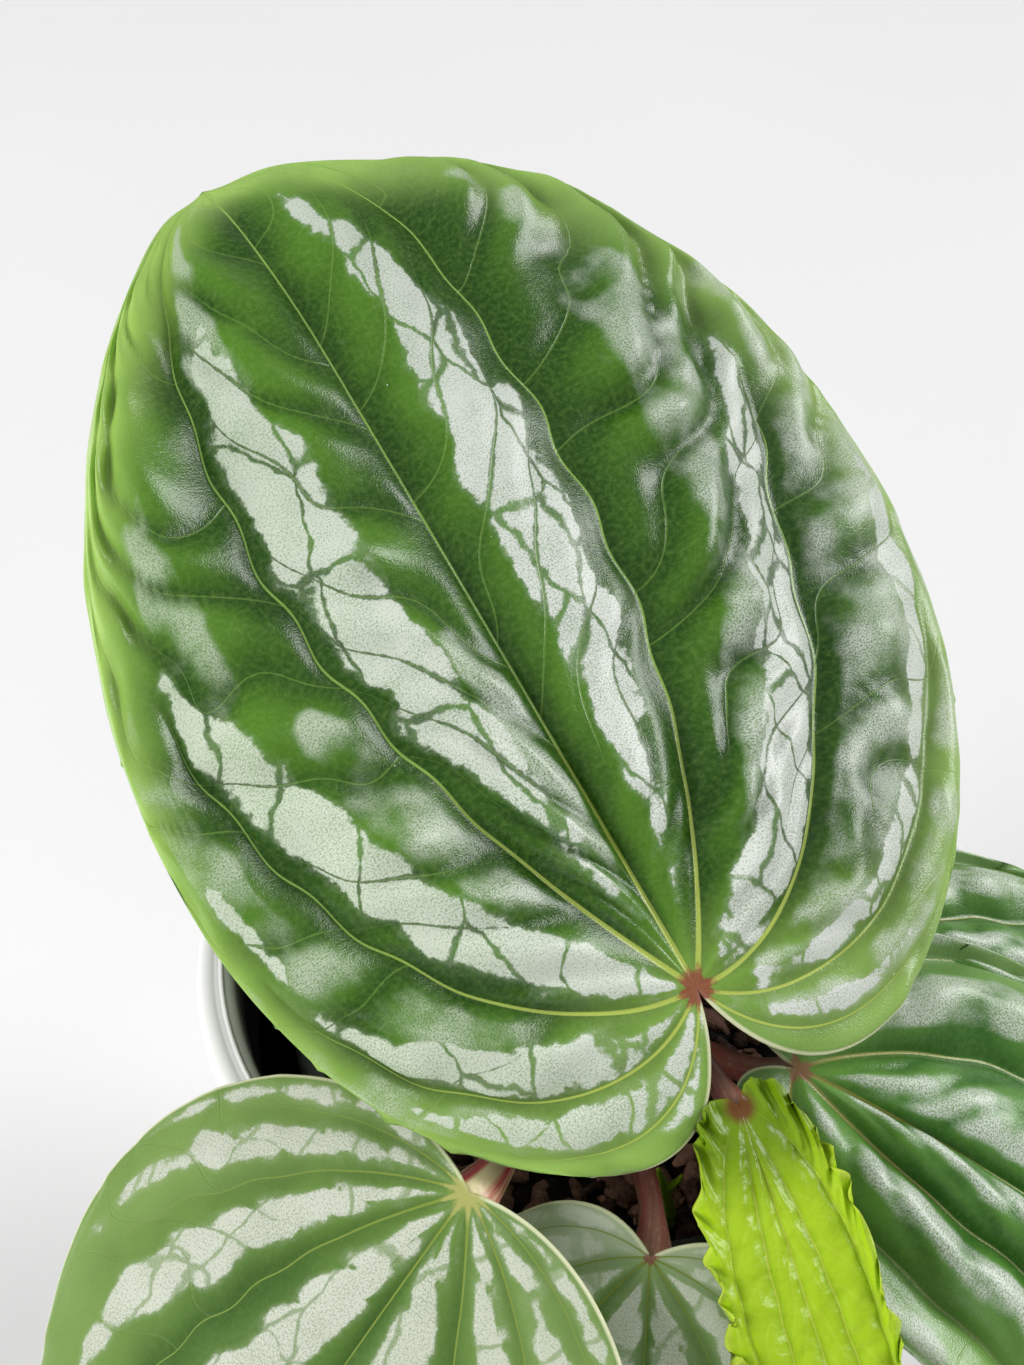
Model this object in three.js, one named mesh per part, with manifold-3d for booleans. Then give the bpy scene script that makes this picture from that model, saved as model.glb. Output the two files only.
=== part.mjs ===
// A potted peperomia: a white cachepot, a black nursery pot, bark soil and a
// small plant with heart-shaped, deep-veined leaves. Millimetres, +Z up. The
// origin is the centre of the cachepot's flat base, and the front is at -Y.
import * as THREE from 'three';
import Module from 'manifold-3d';

const wasm = await Module();
wasm.setup();

// ---- driving dimensions -----------------------------------------------------
const GAP = 0.3; // air between pieces that stand in or against one another

const CACHEPOT = {
  height: 105,
  baseRadius: 46,
  rimRadius: 60,
  wall: 6,
  floor: 4,
  lip: 2.2, // radius of the rounded rim
  sides: 44,
};

const NURSERY = {
  height: 88,
  baseRadius: 33,
  rimRadius: 44.5,
  lipWidth: 1.8,
  lipHeight: 5,
  wall: 1.4,
  drainRadius: 4,
  drainRing: 20,
  drains: 5,
  sides: 36,
};

const SOIL = {
  level: 80, // height of the soil above the origin, at its middle
  edgeDrop: 3,
  sides: 36,
  chips: 46,
  chipLength: 9,
  chipSink: 1.6,
  seed: 11,
};

const CROWN = { radius: 10, below: 10, above: 8, sides: 16 };

const STALK = { baseRadius: 2.3, tipRadius: 1.8, sides: 7, rings: 11 };

const BLADE = { thickness: 1.0, veinDrop: 1.7, pucker: 0.9 };

// Half of a blade, from the midrib at 0 to the margin at 1: where the main
// veins leave the base, and how far each drifts to the margin on its way.
const VEINS = [
  { at: 0, drift: 0 },
  { at: 0.27, drift: 0.1 },
  { at: 0.56, drift: 0.17 },
  { at: 0.79, drift: 0.05 },
  { at: 0.93, drift: 0 },
  { at: 1, drift: 0 },
];

// The outline of half a blade in lengths of the blade: the margin leaves the
// base at the angle notch behind the midrib, reach, wide and shoulder set its
// two handles, and slim narrows the whole half.
const HEART = { notch: 167, reach: 0.45, wide: 0.88, shoulder: 0.48, slim: 1 };

// Each leaf: where its stalk meets the blade, the way the blade points in
// plan, its rise along the midrib, its tilt about the midrib, its length, how
// it droops to the left, to the right, along the midrib and at the tip, and
// how fine its mesh is. The stalk starts at root in the crown, leaves it at
// the angle lift and meets the blade at the angle meet.
const LEAVES = [
  {
    name: 'leaf_1', at: [8.9, -35.8, 134.6], heading: 129, rise: 38, tilt: -12.6,
    length: 133, droop: [0.74, 0.9, 0.36, 0.9], sway: 0.04, rows: 22, fine: true,
    left: { notch: 167, reach: 0.43, wide: 0.75, shoulder: 0.41, slim: 1 },
    right: { notch: 167, reach: 0.486, wide: 1.03, shoulder: 0.557, slim: 1 },
    root: { turn: -76, out: -1.5, high: 6 }, lift: 85, meet: 80,
  },
  {
    name: 'leaf_2', at: [-18.4, -56, 122.3], heading: -133, rise: -27, tilt: -10,
    length: 75, droop: [0.2, 0.55, 0.4, 0.5], sway: 0, rows: 16, fine: true,
    left: { notch: 110, reach: 0.4, wide: 0.94, shoulder: 0.5, slim: 1 },
    right: { notch: 116, reach: 0.43, wide: 0.98, shoulder: 0.45, slim: 1 },
    root: { turn: -140, out: 6, high: 2 }, lift: 50, meet: 40,
  },
  {
    name: 'leaf_3', at: [3, -58.9, 113.3], heading: -96, rise: -36, tilt: 6,
    length: 60, droop: [0.7, 0.8, 0.6, 0.5], sway: 0, rows: 13, fine: false,
    left: { notch: 122, reach: 0.4, wide: 0.9, shoulder: 0.53, slim: 1 },
    right: { notch: 146, reach: 0.44, wide: 0.92, shoulder: 0.43, slim: 1 },
    root: { turn: -93, out: 6, high: 2 }, lift: 45, meet: 40,
  },
  {
    name: 'leaf_4', at: [22.7, -35.1, 118.3], heading: -21, rise: -13, tilt: 12,
    length: 86, droop: [0.5, 1.0, 0.6, 0.5], sway: 0.06, rows: 16, fine: true,
    left: { notch: 165, reach: 0.43, wide: 0.88, shoulder: 0.5, slim: 0.85 },
    right: { notch: 160, reach: 0.36, wide: 0.88, shoulder: 0.6, slim: 0.73 },
    root: { turn: -38, out: 6, high: 2 }, lift: 55, meet: 45,
  },
  {
    name: 'leaf_5', at: [34.7, -13.9, 117.1], heading: -2, rise: -4, tilt: 5,
    length: 66, droop: [0.45, 0.6, 0.9, 0.5], sway: 0.12, rows: 13, fine: false,
    left: { ...HEART, slim: 0.75 },
    right: { ...HEART, slim: 0.5 },
    root: { turn: 10, out: 6, high: 2 }, lift: 55, meet: 50,
  },
  {
    name: 'leaf_6', at: [-17, 14, 118], heading: 162, rise: 2, tilt: -4,
    length: 48, droop: [0.5, 0.5, 0.6, 0.4], sway: 0, rows: 12, fine: false,
    left: HEART, right: HEART,
    root: { turn: 150, out: 6, high: 2 }, lift: 65, meet: 60,
  },
  {
    name: 'leaf_7', at: [17, 17, 118], heading: 38, rise: 0, tilt: 4,
    length: 46, droop: [0.5, 0.5, 0.6, 0.4], sway: 0, rows: 12, fine: false,
    left: HEART, right: HEART,
    root: { turn: 58, out: 6, high: 2 }, lift: 65, meet: 60,
  },
  {
    name: 'leaf_8', at: [-4, 24, 124], heading: 97, rise: 0, tilt: 0,
    length: 58, droop: [0.5, 0.5, 0.7, 0.4], sway: 0, rows: 12, fine: false,
    left: HEART, right: HEART,
    root: { turn: 104, out: 6, high: 2 }, lift: 70, meet: 60,
  },
];

// The young leaf is narrow, folded along its midrib, with a waved margin.
const YOUNG = {
  name: 'new_leaf', at: [13.7, -46.7, 126], heading: -71, rise: -24, tilt: 8,
  length: 55, droop: [-0.9, -0.9, 0.5, 0.3], sway: 0, rows: 26, fine: false,
  left: { notch: 130, reach: 0.4, wide: 0.8, shoulder: 0.55, slim: 0.39 },
  right: { notch: 120, reach: 0.38, wide: 0.8, shoulder: 0.55, slim: 0.39 },
  wave: 1.1, waves: 9,
  root: { turn: -65, out: 4.2, high: 6 }, lift: 80, meet: 45,
};

const SPROUT = { foot: [8.7, -31.5], height: 11, radius: 1.1, lean: [-3, 0.6], sides: 7 };

const COLOURS = {
  glaze: { colour: '#f1f0ee', roughness: 0.3 },
  plastic: { colour: '#1b1c1d', roughness: 0.5 },
  bark: { colour: '#4c3128', roughness: 0.95 },
  stem: { colour: '#7d4a3c', roughness: 0.6 },
  leaf: { colour: '#4a8a35', roughness: 0.4 },
  youngLeaf: { colour: '#9cc22a', roughness: 0.3 },
};

// ---- small tools --------------------------------------------------------------
const radians = THREE.MathUtils.degToRad;
const UP = new THREE.Vector3(0, 0, 1);

function seeded(seed) {
  let state = seed;
  return () => {
    state = (state * 16807) % 2147483647;
    return state / 2147483647;
  };
}

// A closed solid from corner positions and triangles.
function solid(points, triangles) {
  const mesh = new wasm.Mesh({
    numProp: 3,
    vertProperties: new Float32Array(points.flatMap((p) => [p.x, p.y, p.z])),
    triVerts: new Uint32Array(triangles.flat()),
  });
  return new wasm.Manifold(mesh);
}

// A solid of revolution about Z from a closed outline of [radius, height]
// points that run anticlockwise; a point on the axis has radius 0.
function turned(outline, sides) {
  const points = [];
  const rings = outline.map(([radius, height]) => {
    const start = points.length;
    const count = radius === 0 ? 1 : sides;
    for (let i = 0; i < count; i += 1) {
      const angle = (2 * Math.PI * i) / sides;
      points.push(new THREE.Vector3(radius * Math.cos(angle), radius * Math.sin(angle), height));
    }
    return { start, count };
  });
  const triangles = [];
  rings.forEach((low, k) => {
    const high = rings[(k + 1) % rings.length];
    for (let i = 0; i < sides; i += 1) {
      const j = (i + 1) % sides;
      const corner = (ring, n) => ring.start + (ring.count === 1 ? 0 : n);
      if (low.count > 1) {
        triangles.push([corner(low, i), corner(low, j), corner(high, j)]);
      }
      if (high.count > 1) {
        triangles.push([corner(low, i), corner(high, j), corner(high, i)]);
      }
    }
  });
  return solid(points, triangles);
}

// A round bar through the given ring centres; cap(ring, points) may move the
// points of the last ring.
function bar(centres, radii, sides, cap = null) {
  const points = [];
  const curve = new THREE.CatmullRomCurve3(centres);
  const frames = curve.computeFrenetFrames(centres.length - 1, false);
  centres.forEach((centre, k) => {
    const ring = [];
    for (let i = 0; i < sides; i += 1) {
      const angle = (2 * Math.PI * i) / sides;
      ring.push(centre.clone()
        .addScaledVector(frames.normals[k], radii[k] * Math.cos(angle))
        .addScaledVector(frames.binormals[k], radii[k] * Math.sin(angle)));
    }
    if (cap && k === centres.length - 1) {
      ring.forEach((point) => cap(point, frames.tangents[k]));
    }
    points.push(...ring);
  });
  const triangles = [];
  for (let k = 0; k + 1 < centres.length; k += 1) {
    for (let i = 0; i < sides; i += 1) {
      const j = (i + 1) % sides;
      const a = k * sides + i;
      const b = k * sides + j;
      triangles.push([a, b, b + sides], [a, b + sides, a + sides]);
    }
  }
  const last = (centres.length - 1) * sides;
  for (let i = 1; i + 1 < sides; i += 1) {
    triangles.push([0, i + 1, i], [last, last + i, last + i + 1]);
  }
  return solid(points, triangles);
}

// A named node from one solid.
function node(name, body, look) {
  const mesh = body.getMesh();
  const geometry = new THREE.BufferGeometry();
  geometry.setAttribute('position', new THREE.BufferAttribute(new Float32Array(mesh.vertProperties), 3));
  geometry.setIndex(new THREE.BufferAttribute(new Uint32Array(mesh.triVerts), 1));
  geometry.computeVertexNormals();
  const material = new THREE.MeshStandardMaterial({
    name: look,
    color: COLOURS[look].colour,
    roughness: COLOURS[look].roughness,
    metalness: 0,
  });
  const part = new THREE.Mesh(geometry, material);
  part.name = name;
  return part;
}

// ---- pots ------------------------------------------------------------------------
function cachepotBody() {
  const { height, baseRadius, rimRadius, wall, floor, lip, sides } = CACHEPOT;
  const outer = (z) => baseRadius + ((rimRadius - baseRadius) * z) / height;
  const inner = (z) => outer(z) - wall;
  const outline = [[0, 0], [baseRadius - 1.5, 0], [baseRadius, 1.5]];
  for (const angle of [0, 30, 60, 90]) {
    outline.push([
      outer(height - lip) - lip + lip * Math.cos(radians(angle)),
      height - lip + lip * Math.sin(radians(angle)),
    ]);
  }
  for (const angle of [90, 45, 0]) {
    outline.push([
      inner(height - lip) + lip - lip * Math.cos(radians(angle)),
      height - lip + lip * Math.sin(radians(angle)),
    ]);
  }
  outline.push([inner(floor + 3), floor + 3], [inner(floor) - 3, floor], [0, floor]);
  return turned(outline, sides);
}

const nurseryFoot = CACHEPOT.floor;
const nurseryInner = (z) => {
  const share = (z - nurseryFoot) / NURSERY.height;
  return NURSERY.baseRadius + (NURSERY.rimRadius - NURSERY.baseRadius) * share - NURSERY.wall;
};

function nurseryBody() {
  const { height, baseRadius, rimRadius, lipWidth, lipHeight, wall, sides } = NURSERY;
  const top = nurseryFoot + height;
  const under = top - lipHeight;
  const body = turned([
    [0, nurseryFoot],
    [baseRadius, nurseryFoot],
    [nurseryInner(under) + wall, under],
    [rimRadius + lipWidth, under],
    [rimRadius + lipWidth, top],
    [rimRadius - wall, top],
    [nurseryInner(nurseryFoot + wall), nurseryFoot + wall],
    [0, nurseryFoot + wall],
  ], sides);
  const drains = Array.from({ length: NURSERY.drains }, (_, k) => {
    const angle = (2 * Math.PI * k) / NURSERY.drains;
    return turned([
      [0, nurseryFoot - 1],
      [NURSERY.drainRadius, nurseryFoot - 1],
      [NURSERY.drainRadius, nurseryFoot + wall + 1],
      [0, nurseryFoot + wall + 1],
    ], 10).translate([NURSERY.drainRing * Math.cos(angle), NURSERY.drainRing * Math.sin(angle), 0]);
  });
  return drains.reduce((pot, drain) => pot.subtract(drain), body);
}

// ---- soil ------------------------------------------------------------------------
function soilBody() {
  const { level, edgeDrop, sides, chips, chipLength, chipSink, seed } = SOIL;
  const bottom = nurseryFoot + NURSERY.wall + GAP;
  const edge = level - edgeDrop;
  let body = turned([
    [0, bottom],
    [nurseryInner(bottom) - GAP - 0.2, bottom],
    [nurseryInner(edge) - GAP - 0.2, edge],
    [0.5 * nurseryInner(edge), level - 0.3 * edgeDrop],
    [0, level],
  ], sides);
  const draw = seeded(seed);
  for (let k = 0; k < chips; k += 1) {
    const ring = Math.sqrt((k + 0.5) / chips) * (nurseryInner(edge) - chipLength);
    const angle = k * 2.399963;
    const box = new THREE.BoxGeometry(1, 1, 1, 1, 1, 1);
    const size = chipLength * (0.55 + 0.45 * draw());
    box.scale(size, size * (0.45 + 0.3 * draw()), size * (0.28 + 0.2 * draw()));
    box.rotateX(0.7 * (draw() - 0.5));
    box.rotateY(0.7 * (draw() - 0.5));
    box.rotateZ(2 * Math.PI * draw());
    const here = level - edgeDrop * (ring / nurseryInner(edge)) + 0.5 * size * 0.35 - chipSink;
    box.translate(ring * Math.cos(angle), ring * Math.sin(angle), here);
    body = body.add(hull(box));
  }
  const hole = turned([
    [0, level - CROWN.below - GAP],
    [CROWN.radius + GAP, level - CROWN.below - GAP],
    [CROWN.radius + GAP, level + 20],
    [0, level + 20],
  ], CROWN.sides);
  const pit = turned([
    [0, sproutFoot - GAP],
    [SPROUT.radius + GAP, sproutFoot - GAP],
    [SPROUT.radius + GAP, level + 20],
    [0, level + 20],
  ], SPROUT.sides).translate([SPROUT.foot[0], SPROUT.foot[1], 0]);
  return body.subtract(hole).subtract(pit);
}

// The solid of a box geometry.
function hull(box) {
  const seen = new Map();
  const points = [];
  const place = box.getAttribute('position');
  const corner = [];
  for (let i = 0; i < place.count; i += 1) {
    const p = new THREE.Vector3().fromBufferAttribute(place, i);
    const key = p.toArray().map((n) => n.toFixed(4)).join();
    if (!seen.has(key)) {
      seen.set(key, points.length);
      points.push(p);
    }
    corner.push(seen.get(key));
  }
  const triangles = [];
  for (let i = 0; i < box.index.count; i += 3) {
    triangles.push([0, 1, 2].map((n) => corner[box.index.getX(i + n)]));
  }
  return solid(points, triangles);
}

// ---- leaves ----------------------------------------------------------------------
// The point across (-1 to 1) and along (0 base to 1 tip) a blade, in blade
// lengths: a family of curves that fan out of the base and meet at the tip.
function fan(leaf, across, along) {
  const half = across < 0 ? leaf.left : leaf.right;
  const share = Math.abs(across);
  const side = Math.sign(across);
  const angle = radians(half.notch) * share ** 1.4;
  const reach = 1 / 3 + (half.reach - 1 / 3) * share ** 3;
  const rest = 1 - along;
  const first = 3 * along * rest * rest;
  const second = 3 * along * along * rest;
  const x = half.slim * side * (first * reach * Math.sin(angle) + second * half.wide * share);
  const y = first * reach * Math.cos(angle)
    + second * (2 / 3 + (half.shoulder - 2 / 3) * share) + along ** 3;
  return [x, y];
}

// How far a blade rises between its veins, in millimetres.
function relief(leaf, across, along) {
  const share = Math.abs(across);
  const lines = VEINS.map((vein) => vein.at + vein.drift * along * along);
  const size = leaf.length / 133;
  let k = 0;
  while (k < lines.length - 2 && share > lines[k + 1]) {
    k += 1;
  }
  const inside = (share - lines[k]) / (lines[k + 1] - lines[k]);
  const swell = Math.sin(Math.PI * Math.min(Math.max(inside, 0), 1));
  const fade = Math.min(1, along * 4) * Math.min(1, (1 - along) * 3);
  const fold = Math.cos(2 * Math.PI * (9 * along + 0.8 * inside + 0.37 * k));
  const ends = k === lines.length - 2 ? 0.4 : 1;
  return size * fade * ends * swell * (BLADE.veinDrop + BLADE.pucker * fold);
}

// The blade's surface in its own frame: x to the right, y to the tip, z up.
function surface(leaf, across, along) {
  const [x, y] = fan(leaf, across, along);
  const [leftDroop, rightDroop, lengthDroop, tipDroop] = leaf.droop;
  const droop = (x < 0 ? leftDroop : rightDroop) * x * x * 0.5
    + lengthDroop * y * y * 0.5
    + tipDroop * Math.max(y - 0.7, 0) ** 2;
  const wave = (leaf.wave ?? 0) * Math.abs(across) ** 5 * Math.sin(2 * Math.PI * (leaf.waves ?? 0) * along)
    * Math.min(1, 5 * along) * Math.min(1, 5 * (1 - along));
  return new THREE.Vector3(
    (x + leaf.sway * y * y) * leaf.length,
    y * leaf.length,
    relief(leaf, across, along) - droop * leaf.length + wave,
  );
}

// The blade's frame in the world.
function frameOf(leaf) {
  const forward = new THREE.Vector3(
    Math.cos(radians(leaf.rise)) * Math.cos(radians(leaf.heading)),
    Math.cos(radians(leaf.rise)) * Math.sin(radians(leaf.heading)),
    Math.sin(radians(leaf.rise)),
  );
  const right = forward.clone().cross(UP).normalize();
  right.applyAxisAngle(forward, radians(leaf.tilt));
  const normal = right.clone().cross(forward);
  const base = new THREE.Vector3(...leaf.at);
  const matrix = new THREE.Matrix4().makeBasis(right, forward, normal).setPosition(base);
  return { matrix, base, forward, normal };
}

function bladeBody(leaf) {
  const { matrix } = frameOf(leaf);
  const columns = (along) => {
    const half = [];
    for (let k = 0; k + 1 < VEINS.length; k += 1) {
      const from = VEINS[k].at + VEINS[k].drift * along * along;
      const to = VEINS[k + 1].at + VEINS[k + 1].drift * along * along;
      half.push(from);
      if (leaf.fine && k < 3) {
        half.push((from + to) / 2);
      }
    }
    half.push(1);
    const back = half.slice(1).reverse().map((n) => -n);
    return [...back, ...half];
  };
  const skin = (drop) => {
    const points = [surface(leaf, 0, 0)];
    for (let row = 1; row < leaf.rows; row += 1) {
      const along = row / leaf.rows;
      points.push(...columns(along).map((across) => surface(leaf, across, along)));
    }
    points.push(surface(leaf, 0, 1));
    points.forEach((point) => {
      point.z -= drop;
      point.applyMatrix4(matrix);
    });
    return points;
  };
  const width = columns(0).length;
  const top = skin(0);
  const points = [...top, ...skin(BLADE.thickness)];
  const under = top.length;
  const at = (row, column) => {
    if (row === 0) {
      return 0;
    }
    return row === leaf.rows ? under - 1 : 1 + (row - 1) * width + column;
  };
  const triangles = [];
  const both = (a, b, c) => triangles.push([a, b, c], [a + under, c + under, b + under]);
  for (let row = 0; row < leaf.rows; row += 1) {
    for (let column = 0; column + 1 < width; column += 1) {
      if (row > 0) {
        both(at(row, column), at(row, column + 1), at(row + 1, column));
      }
      if (row + 1 < leaf.rows) {
        both(at(row, column + 1), at(row + 1, column + 1), at(row + 1, column));
      }
    }
    const edges = [[at(row + 1, 0), at(row, 0)], [at(row, width - 1), at(row + 1, width - 1)]];
    for (const [a, b] of edges) {
      triangles.push([a, a + under, b + under], [a, b + under, b]);
    }
  }
  return solid(points, triangles);
}

// The middle line of a stalk: out of the crown, up, and in under the blade.
function stalkLine(leaf) {
  const { base, forward, normal } = frameOf(leaf);
  const seat = base.clone().addScaledVector(normal, -(BLADE.thickness + GAP));
  const turn = radians(leaf.root.turn);
  const away = new THREE.Vector3(Math.cos(turn), Math.sin(turn), 0);
  const start = away.clone().multiplyScalar(leaf.root.out).setZ(SOIL.level + leaf.root.high);
  const meet = radians(leaf.meet);
  const end = forward.clone().multiplyScalar(Math.cos(meet)).addScaledVector(normal, Math.sin(meet));
  const pull = 0.36 * start.distanceTo(seat);
  const lift = radians(leaf.lift);
  const out = away.clone().multiplyScalar(Math.cos(lift)).addScaledVector(UP, Math.sin(lift));
  return new THREE.CubicBezierCurve3(
    start,
    start.clone().addScaledVector(out, pull),
    seat.clone().addScaledVector(end, -pull),
    seat,
  );
}

function stalkBody(leaf, thin) {
  const line = stalkLine(leaf);
  const { normal } = frameOf(leaf);
  const centres = line.getPoints(STALK.rings);
  const radii = centres.map((_, k) => {
    const share = k / STALK.rings;
    return thin * (STALK.baseRadius + (STALK.tipRadius - STALK.baseRadius) * share);
  });
  const seat = centres[centres.length - 1];
  const mitre = (point, tangent) => {
    const travel = seat.clone().sub(point).dot(normal) / tangent.dot(normal);
    point.addScaledVector(tangent, travel);
  };
  return bar(centres, radii, STALK.sides, mitre);
}

// The hole that a stalk stands in.
function socketBody(leaf, thin) {
  const line = stalkLine(leaf);
  const centres = [-0.01, 0, 0.06, 0.12, 0.18, 0.25].map((share) => {
    if (share >= 0) {
      return line.getPoint(share);
    }
    return line.getPoint(0).addScaledVector(line.getTangent(0), -GAP - 0.1);
  });
  const radius = thin * STALK.baseRadius + GAP + 0.1;
  return bar(centres, centres.map(() => radius), STALK.sides + 3);
}

const crownTop = SOIL.level + CROWN.above;

function crownBody(stalks) {
  const low = SOIL.level - CROWN.below;
  const body = turned([
    [0, low],
    [CROWN.radius, low],
    [CROWN.radius, crownTop - 4],
    [CROWN.radius - 3, crownTop - 1],
    [0, crownTop],
  ], CROWN.sides);
  return stalks.reduce((crown, [leaf, thin]) => crown.subtract(socketBody(leaf, thin)), body);
}

// ---- sprout ----------------------------------------------------------------------
const sproutFoot = SOIL.level - 6;

function sproutBody() {
  const { foot, height, radius, lean, sides } = SPROUT;
  const centres = [0, 0.4, 0.7, 1].map((share) => new THREE.Vector3(
    foot[0] + lean[0] * Math.max(share - 0.4, 0),
    foot[1] + lean[1] * Math.max(share - 0.4, 0),
    sproutFoot + share * (height + 6),
  ));
  const stem = bar(centres, [radius, radius * 0.9, radius * 0.9, radius * 0.3], sides);
  const fork = centres[2];
  const prong = bar([
    fork.clone().add(new THREE.Vector3(0, 0, -1.5)),
    fork.clone().add(new THREE.Vector3(1.6, 0, 1)),
    fork.clone().add(new THREE.Vector3(2.4, 0.2, 3)),
  ], [0.7, 0.6, 0.25], 6);
  return stem.add(prong);
}

// ---- the plant in its pots ---------------------------------------------------------
const plant = new THREE.Group();
plant.name = 'potted_peperomia';
plant.add(node('cachepot', cachepotBody(), 'glaze'));
plant.add(node('nursery_pot', nurseryBody(), 'plastic'));
plant.add(node('soil', soilBody(), 'bark'));

const stalks = [...LEAVES.map((leaf) => [leaf, 1]), [YOUNG, 0.75]];
plant.add(node('crown', crownBody(stalks), 'stem'));
for (const [leaf, thin] of stalks) {
  plant.add(node(`${leaf.name}_stalk`, stalkBody(leaf, thin), 'stem'));
  plant.add(node(`${leaf.name}_blade`, bladeBody(leaf), leaf === YOUNG ? 'youngLeaf' : 'leaf'));
}
plant.add(node('sprout', sproutBody(), 'youngLeaf'));

export default plant;
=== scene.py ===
"""Looks of a potted peperomia: leaves, stalks, bark soil and two pots.

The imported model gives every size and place. Leaves are built as curved
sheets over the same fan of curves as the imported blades, with sunken veins,
folds between them and a rolled margin; their silver streaks, veins and
grain come from procedural materials that read what the mesh stores.

Sizes are in millimetres and angles in degrees, unless noted otherwise.
"""
import logging
import math
from collections.abc import Callable, Sequence
from dataclasses import dataclass, field, replace
from enum import Enum
from functools import partial

import bpy
import numpy as np
from mathutils import Matrix, Vector


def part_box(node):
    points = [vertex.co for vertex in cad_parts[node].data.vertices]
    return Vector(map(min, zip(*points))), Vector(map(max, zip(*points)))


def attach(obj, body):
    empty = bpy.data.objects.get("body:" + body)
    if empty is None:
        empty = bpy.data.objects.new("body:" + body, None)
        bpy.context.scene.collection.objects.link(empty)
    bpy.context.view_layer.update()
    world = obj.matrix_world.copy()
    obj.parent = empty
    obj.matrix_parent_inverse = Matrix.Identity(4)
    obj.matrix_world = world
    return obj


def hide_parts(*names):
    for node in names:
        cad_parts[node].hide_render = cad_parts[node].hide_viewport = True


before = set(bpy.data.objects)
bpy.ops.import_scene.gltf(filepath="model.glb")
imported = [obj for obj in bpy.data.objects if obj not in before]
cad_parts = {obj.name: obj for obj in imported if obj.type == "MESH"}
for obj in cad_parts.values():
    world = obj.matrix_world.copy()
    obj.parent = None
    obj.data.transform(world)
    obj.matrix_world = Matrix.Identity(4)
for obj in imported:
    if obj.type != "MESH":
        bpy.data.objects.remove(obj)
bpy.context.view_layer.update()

log = logging.getLogger("peperomia")

MM = 0.001
BODY = "root"
Array = np.ndarray
Colour = tuple[float, float, float, float]
Faces = list[tuple[int, ...]]
Adder = Callable[..., bpy.types.NodeSocket]

# Settings that many nodes share.
SMOOTHLY = {"interpolation_type": "SMOOTHSTEP"}
COLOURS = {"data_type": "RGBA"}
PLUS = {"operation": "ADD"}
TIMES = {"operation": "MULTIPLY"}
TIMES_PLUS = {"operation": "MULTIPLY_ADD"}
LARGER = {"operation": "MAXIMUM"}


# ---- small tools ---------------------------------------------------------


def srgb(code: str) -> Colour:
    """Turn an sRGB hex colour to Blender's linear one.

    Args:
        code: six hex digits after a hash.

    Returns:
        Linear red, green, blue and an alpha of 1.
    """
    parts = [int(code[n:n + 2], 16) / 255 for n in (1, 3, 5)]
    linear = [p / 12.92 if p <= 0.04045 else ((p + 0.055) / 1.055) ** 2.4 for p in parts]
    return (linear[0], linear[1], linear[2], 1.0)


def add_node(tree: bpy.types.NodeTree, kind: str, inputs: Sequence | dict = (), out: int | str = 0,
             **settings: object) -> bpy.types.NodeSocket | None:
    """Add a shader node with its settings, input values and links.

    Args:
        tree: the material's node tree.
        kind: node type without the ShaderNode prefix.
        inputs: values or sockets, in order or by name or number.
        out: name or number of the output to return.
        settings: properties of the node itself.

    Returns:
        The output socket, or None for a node without one.
    """
    node = tree.nodes.new("ShaderNode" + kind)
    for name, value in settings.items():
        setattr(node, name, value)
    for key, value in (inputs if isinstance(inputs, dict) else dict(enumerate(inputs))).items():
        if isinstance(value, bpy.types.NodeSocket):
            tree.links.new(value, node.inputs[key])
        else:
            node.inputs[key].default_value = value
    return node.outputs[out] if len(node.outputs) else None


def smooth(value: Array, low: float, high: float) -> Array:
    """Return 0 below low, 1 above high and a smooth step between."""
    share = np.clip((value - low) / (high - low), 0.0, 1.0)
    return share * share * (3.0 - 2.0 * share)


def soften(heights: Array) -> Array:
    """Average each height of a grid with its neighbours.

    Args:
        heights: rows and columns of heights.

    Returns:
        A grid of the same size.
    """
    for axis in (0, 1):
        pad = [(0, 0), (0, 0)]
        pad[axis] = (1, 1)
        wide = np.swapaxes(np.pad(heights, pad, "edge"), 0, axis)
        heights = np.swapaxes(0.25 * wide[:-2] + 0.5 * wide[1:-1] + 0.25 * wide[2:], 0, axis)
    return heights


def through(keys: tuple[tuple[float, ...], ...], column: int, at: Array) -> Array:
    """Read a softly rounded line through keys.

    Args:
        keys: rows of a place and one or more values there.
        column: which value to read.
        at: the places to read it at.

    Returns:
        The value at each place.
    """
    window = np.hanning(15)
    places = np.linspace(-0.2, 1.2, 281)
    line = np.interp(places, [k[0] for k in keys], [k[column] for k in keys])
    rounded = np.convolve(np.pad(line, 6, mode="edge"), window[1:-1] / window.sum(), "valid")
    return np.interp(at, places, rounded)


def round_turn(sides: int) -> Array:
    """Return the angles of points spaced evenly round a circle."""
    return np.linspace(0, 2 * math.pi, sides, endpoint=False)


class Waves:
    """Smooth seeded noise in two directions, about -1 to 1."""

    count = 9

    def __init__(self, seed: int, size: float) -> None:
        """Draw the waves.

        Args:
            seed: what the draws start from.
            size: the distance between one hill and the next.
        """
        draw = np.random.default_rng(seed)
        turn = draw.uniform(0, 2 * math.pi, self.count)
        rate = 2 * math.pi / size * draw.uniform(0.6, 1.5, self.count)
        self.rates = np.stack([rate * np.cos(turn), rate * np.sin(turn)])
        self.phase = draw.uniform(0, 2 * math.pi, self.count)

    def at(self, x: Array, y: Array) -> Array:
        """Return the noise at the points (x, y)."""
        angle = x[..., None] * self.rates[0] + y[..., None] * self.rates[1] + self.phase
        return np.sin(angle).sum(-1) / math.sqrt(self.count)


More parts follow.
